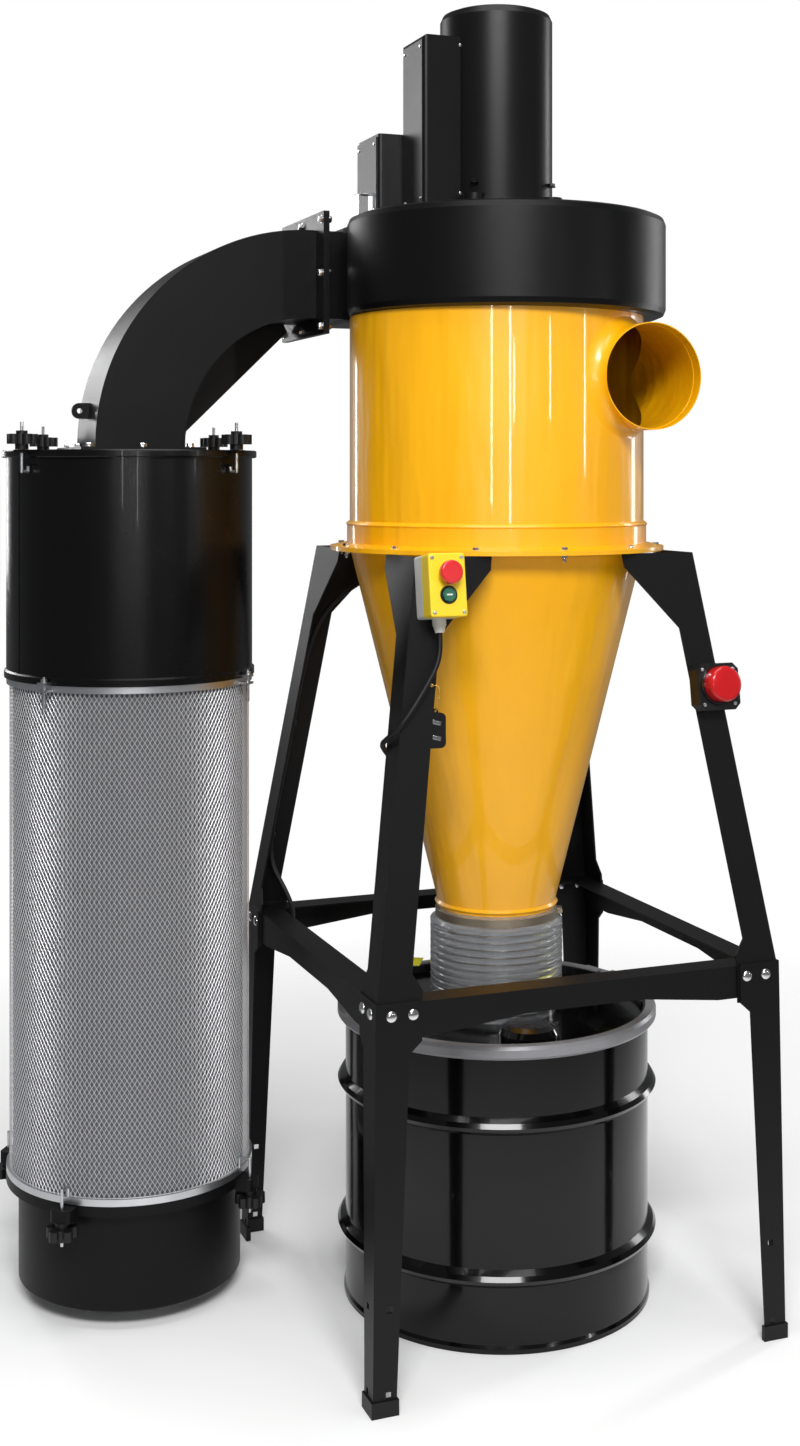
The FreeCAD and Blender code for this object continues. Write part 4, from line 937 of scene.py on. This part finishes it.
finish_piece("lid_sticker", sticker((0.1734, -0.1262), 0.149, 0.0645, 45.2),
             label_yellow, smooth=60)
finish_piece("lid_sticker_back", sticker((-0.092, 0.196), 0.060, 0.030, 60),
             label_yellow, smooth=60)
finish_piece("lid_tag", sticker((0.2530, -0.0750), 0.034, 0.022, -30),
             label_white, smooth=60)

# %% [markdown]
# ## Light and floor
# A plain white floor fades into a white backdrop, so no horizon shows. Glossy
# blacks would mirror that backdrop and turn grey, so the sky that lights the
# machine is dimmer than the one behind it. Narrow strips in front draw the
# upright streaks on the round parts, tall panels light the edges from the
# sides and back, and two broad ones fill the front and the tops.

# %% Light and floor
def panel(name, place, target, size, power):
    """A rectangular lamp that faces a target."""
    lamp = bpy.data.lights.new(name, "AREA")
    lamp.shape, lamp.size, lamp.size_y, lamp.energy = "RECTANGLE", *size, power
    aim(put_in_scene(name, lamp), place, Vector(target) - Vector(place))


panel("left panel", (-1.50, 4.6, 2.0), (-0.1, 0, 1.7), (0.30, 1.8), 22)
panel("right panel", (3.3, 0.86, 1.9), (0, 0, 1.4), (0.40, 2.8), 30)
panel("back left panel", (-1.9, 3.3, 3.0), (-0.2, 0, 1.8), (1.3, 1.1), 20)
STRIP_W, STRIP_POWER = 0.07, 14
strips = [(-2.36, -4.63, 1.85, 0.90), (-1.21, -5.06, 1.80, 1.00), (-0.95, -5.11, 1.95, 0.35),
          (1.49, -4.98, 2.00, 0.45), (3.73, -3.63, 1.90, 0.70)]
for number, (x, y, z, tall) in enumerate(strips):
    panel(f"front strip {number}", (x, y, z), (0, 0, z - 0.3), (STRIP_W, tall),
          STRIP_POWER * tall)
panel("front fill", (-1.6, -4.4, 4.4), (0, 0, 1.0), (2.6, 1.2), 290)
panel("top panel", (-0.2, -0.6, 4.8), (0, 0, 0), (2.6, 2.6), 85)

sky = bpy.data.worlds.new("studio")
sky.use_nodes = True
sky_nodes, sky_links = sky.node_tree.nodes, sky.node_tree.links
backdrop = sky_nodes["Background"]
backdrop.inputs["Color"].default_value = (1, 1, 1, 1)
backdrop.inputs["Strength"].default_value = 1.0
dim = sky_nodes.new("ShaderNodeBackground")
dim.inputs["Color"].default_value = (0.95, 0.97, 1.0, 1)
dim.inputs["Strength"].default_value = 0.16
seen, either = sky_nodes.new("ShaderNodeLightPath"), sky_nodes.new("ShaderNodeMixShader")
sky_links.new(seen.outputs["Is Camera Ray"], either.inputs[0])
sky_links.new(dim.outputs[0], either.inputs[1])
sky_links.new(backdrop.outputs[0], either.inputs[2])
sky_links.new(either.outputs[0], sky_nodes["World Output"].inputs["Surface"])
bpy.context.scene.world = sky
bpy.context.scene.view_settings.view_transform = "Standard"

floor = bmesh.new()
bmesh.ops.create_grid(floor, x_segments=1, y_segments=1, size=40)
bmesh.ops.translate(floor, verts=floor.verts, vec=(0, 0, -0.0005))
floor_mesh = bpy.data.meshes.new("floor")
floor.to_mesh(floor_mesh)
floor.free()
FADE_FROM, FADE_TO = 0.9, 2.6
floor_paint = Paint("studio floor", Base_Color=(0.94, 0.94, 0.94, 1), Roughness=0.9,
                    Specular_IOR_Level=0.0)
floor_nodes, floor_links = floor_paint.tree.nodes, floor_paint.tree.links
clear_away = floor_nodes.new("ShaderNodeBsdfTransparent")
far = floor_paint.node("VectorMath", {"operation": "LENGTH"}, {0: floor_paint.where}, "Value")
blend = floor_nodes.new("ShaderNodeMixShader")
floor_paint.feed(blend.inputs[0], floor_paint.between(far, FADE_FROM, FADE_TO))
floor_links.new(floor_paint.shader.outputs[0], blend.inputs[1])
floor_links.new(clear_away.outputs[0], blend.inputs[2])
floor_links.new(blend.outputs[0], floor_nodes["Material Output"].inputs["Surface"])
floor_mesh.materials.append(floor_paint.material)
floor_object = put_in_scene("floor", floor_mesh)
floor_object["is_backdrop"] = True
print("studio lit")

# %% Measure and finish
low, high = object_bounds()
print("visual box", tuple(low), tuple(high))
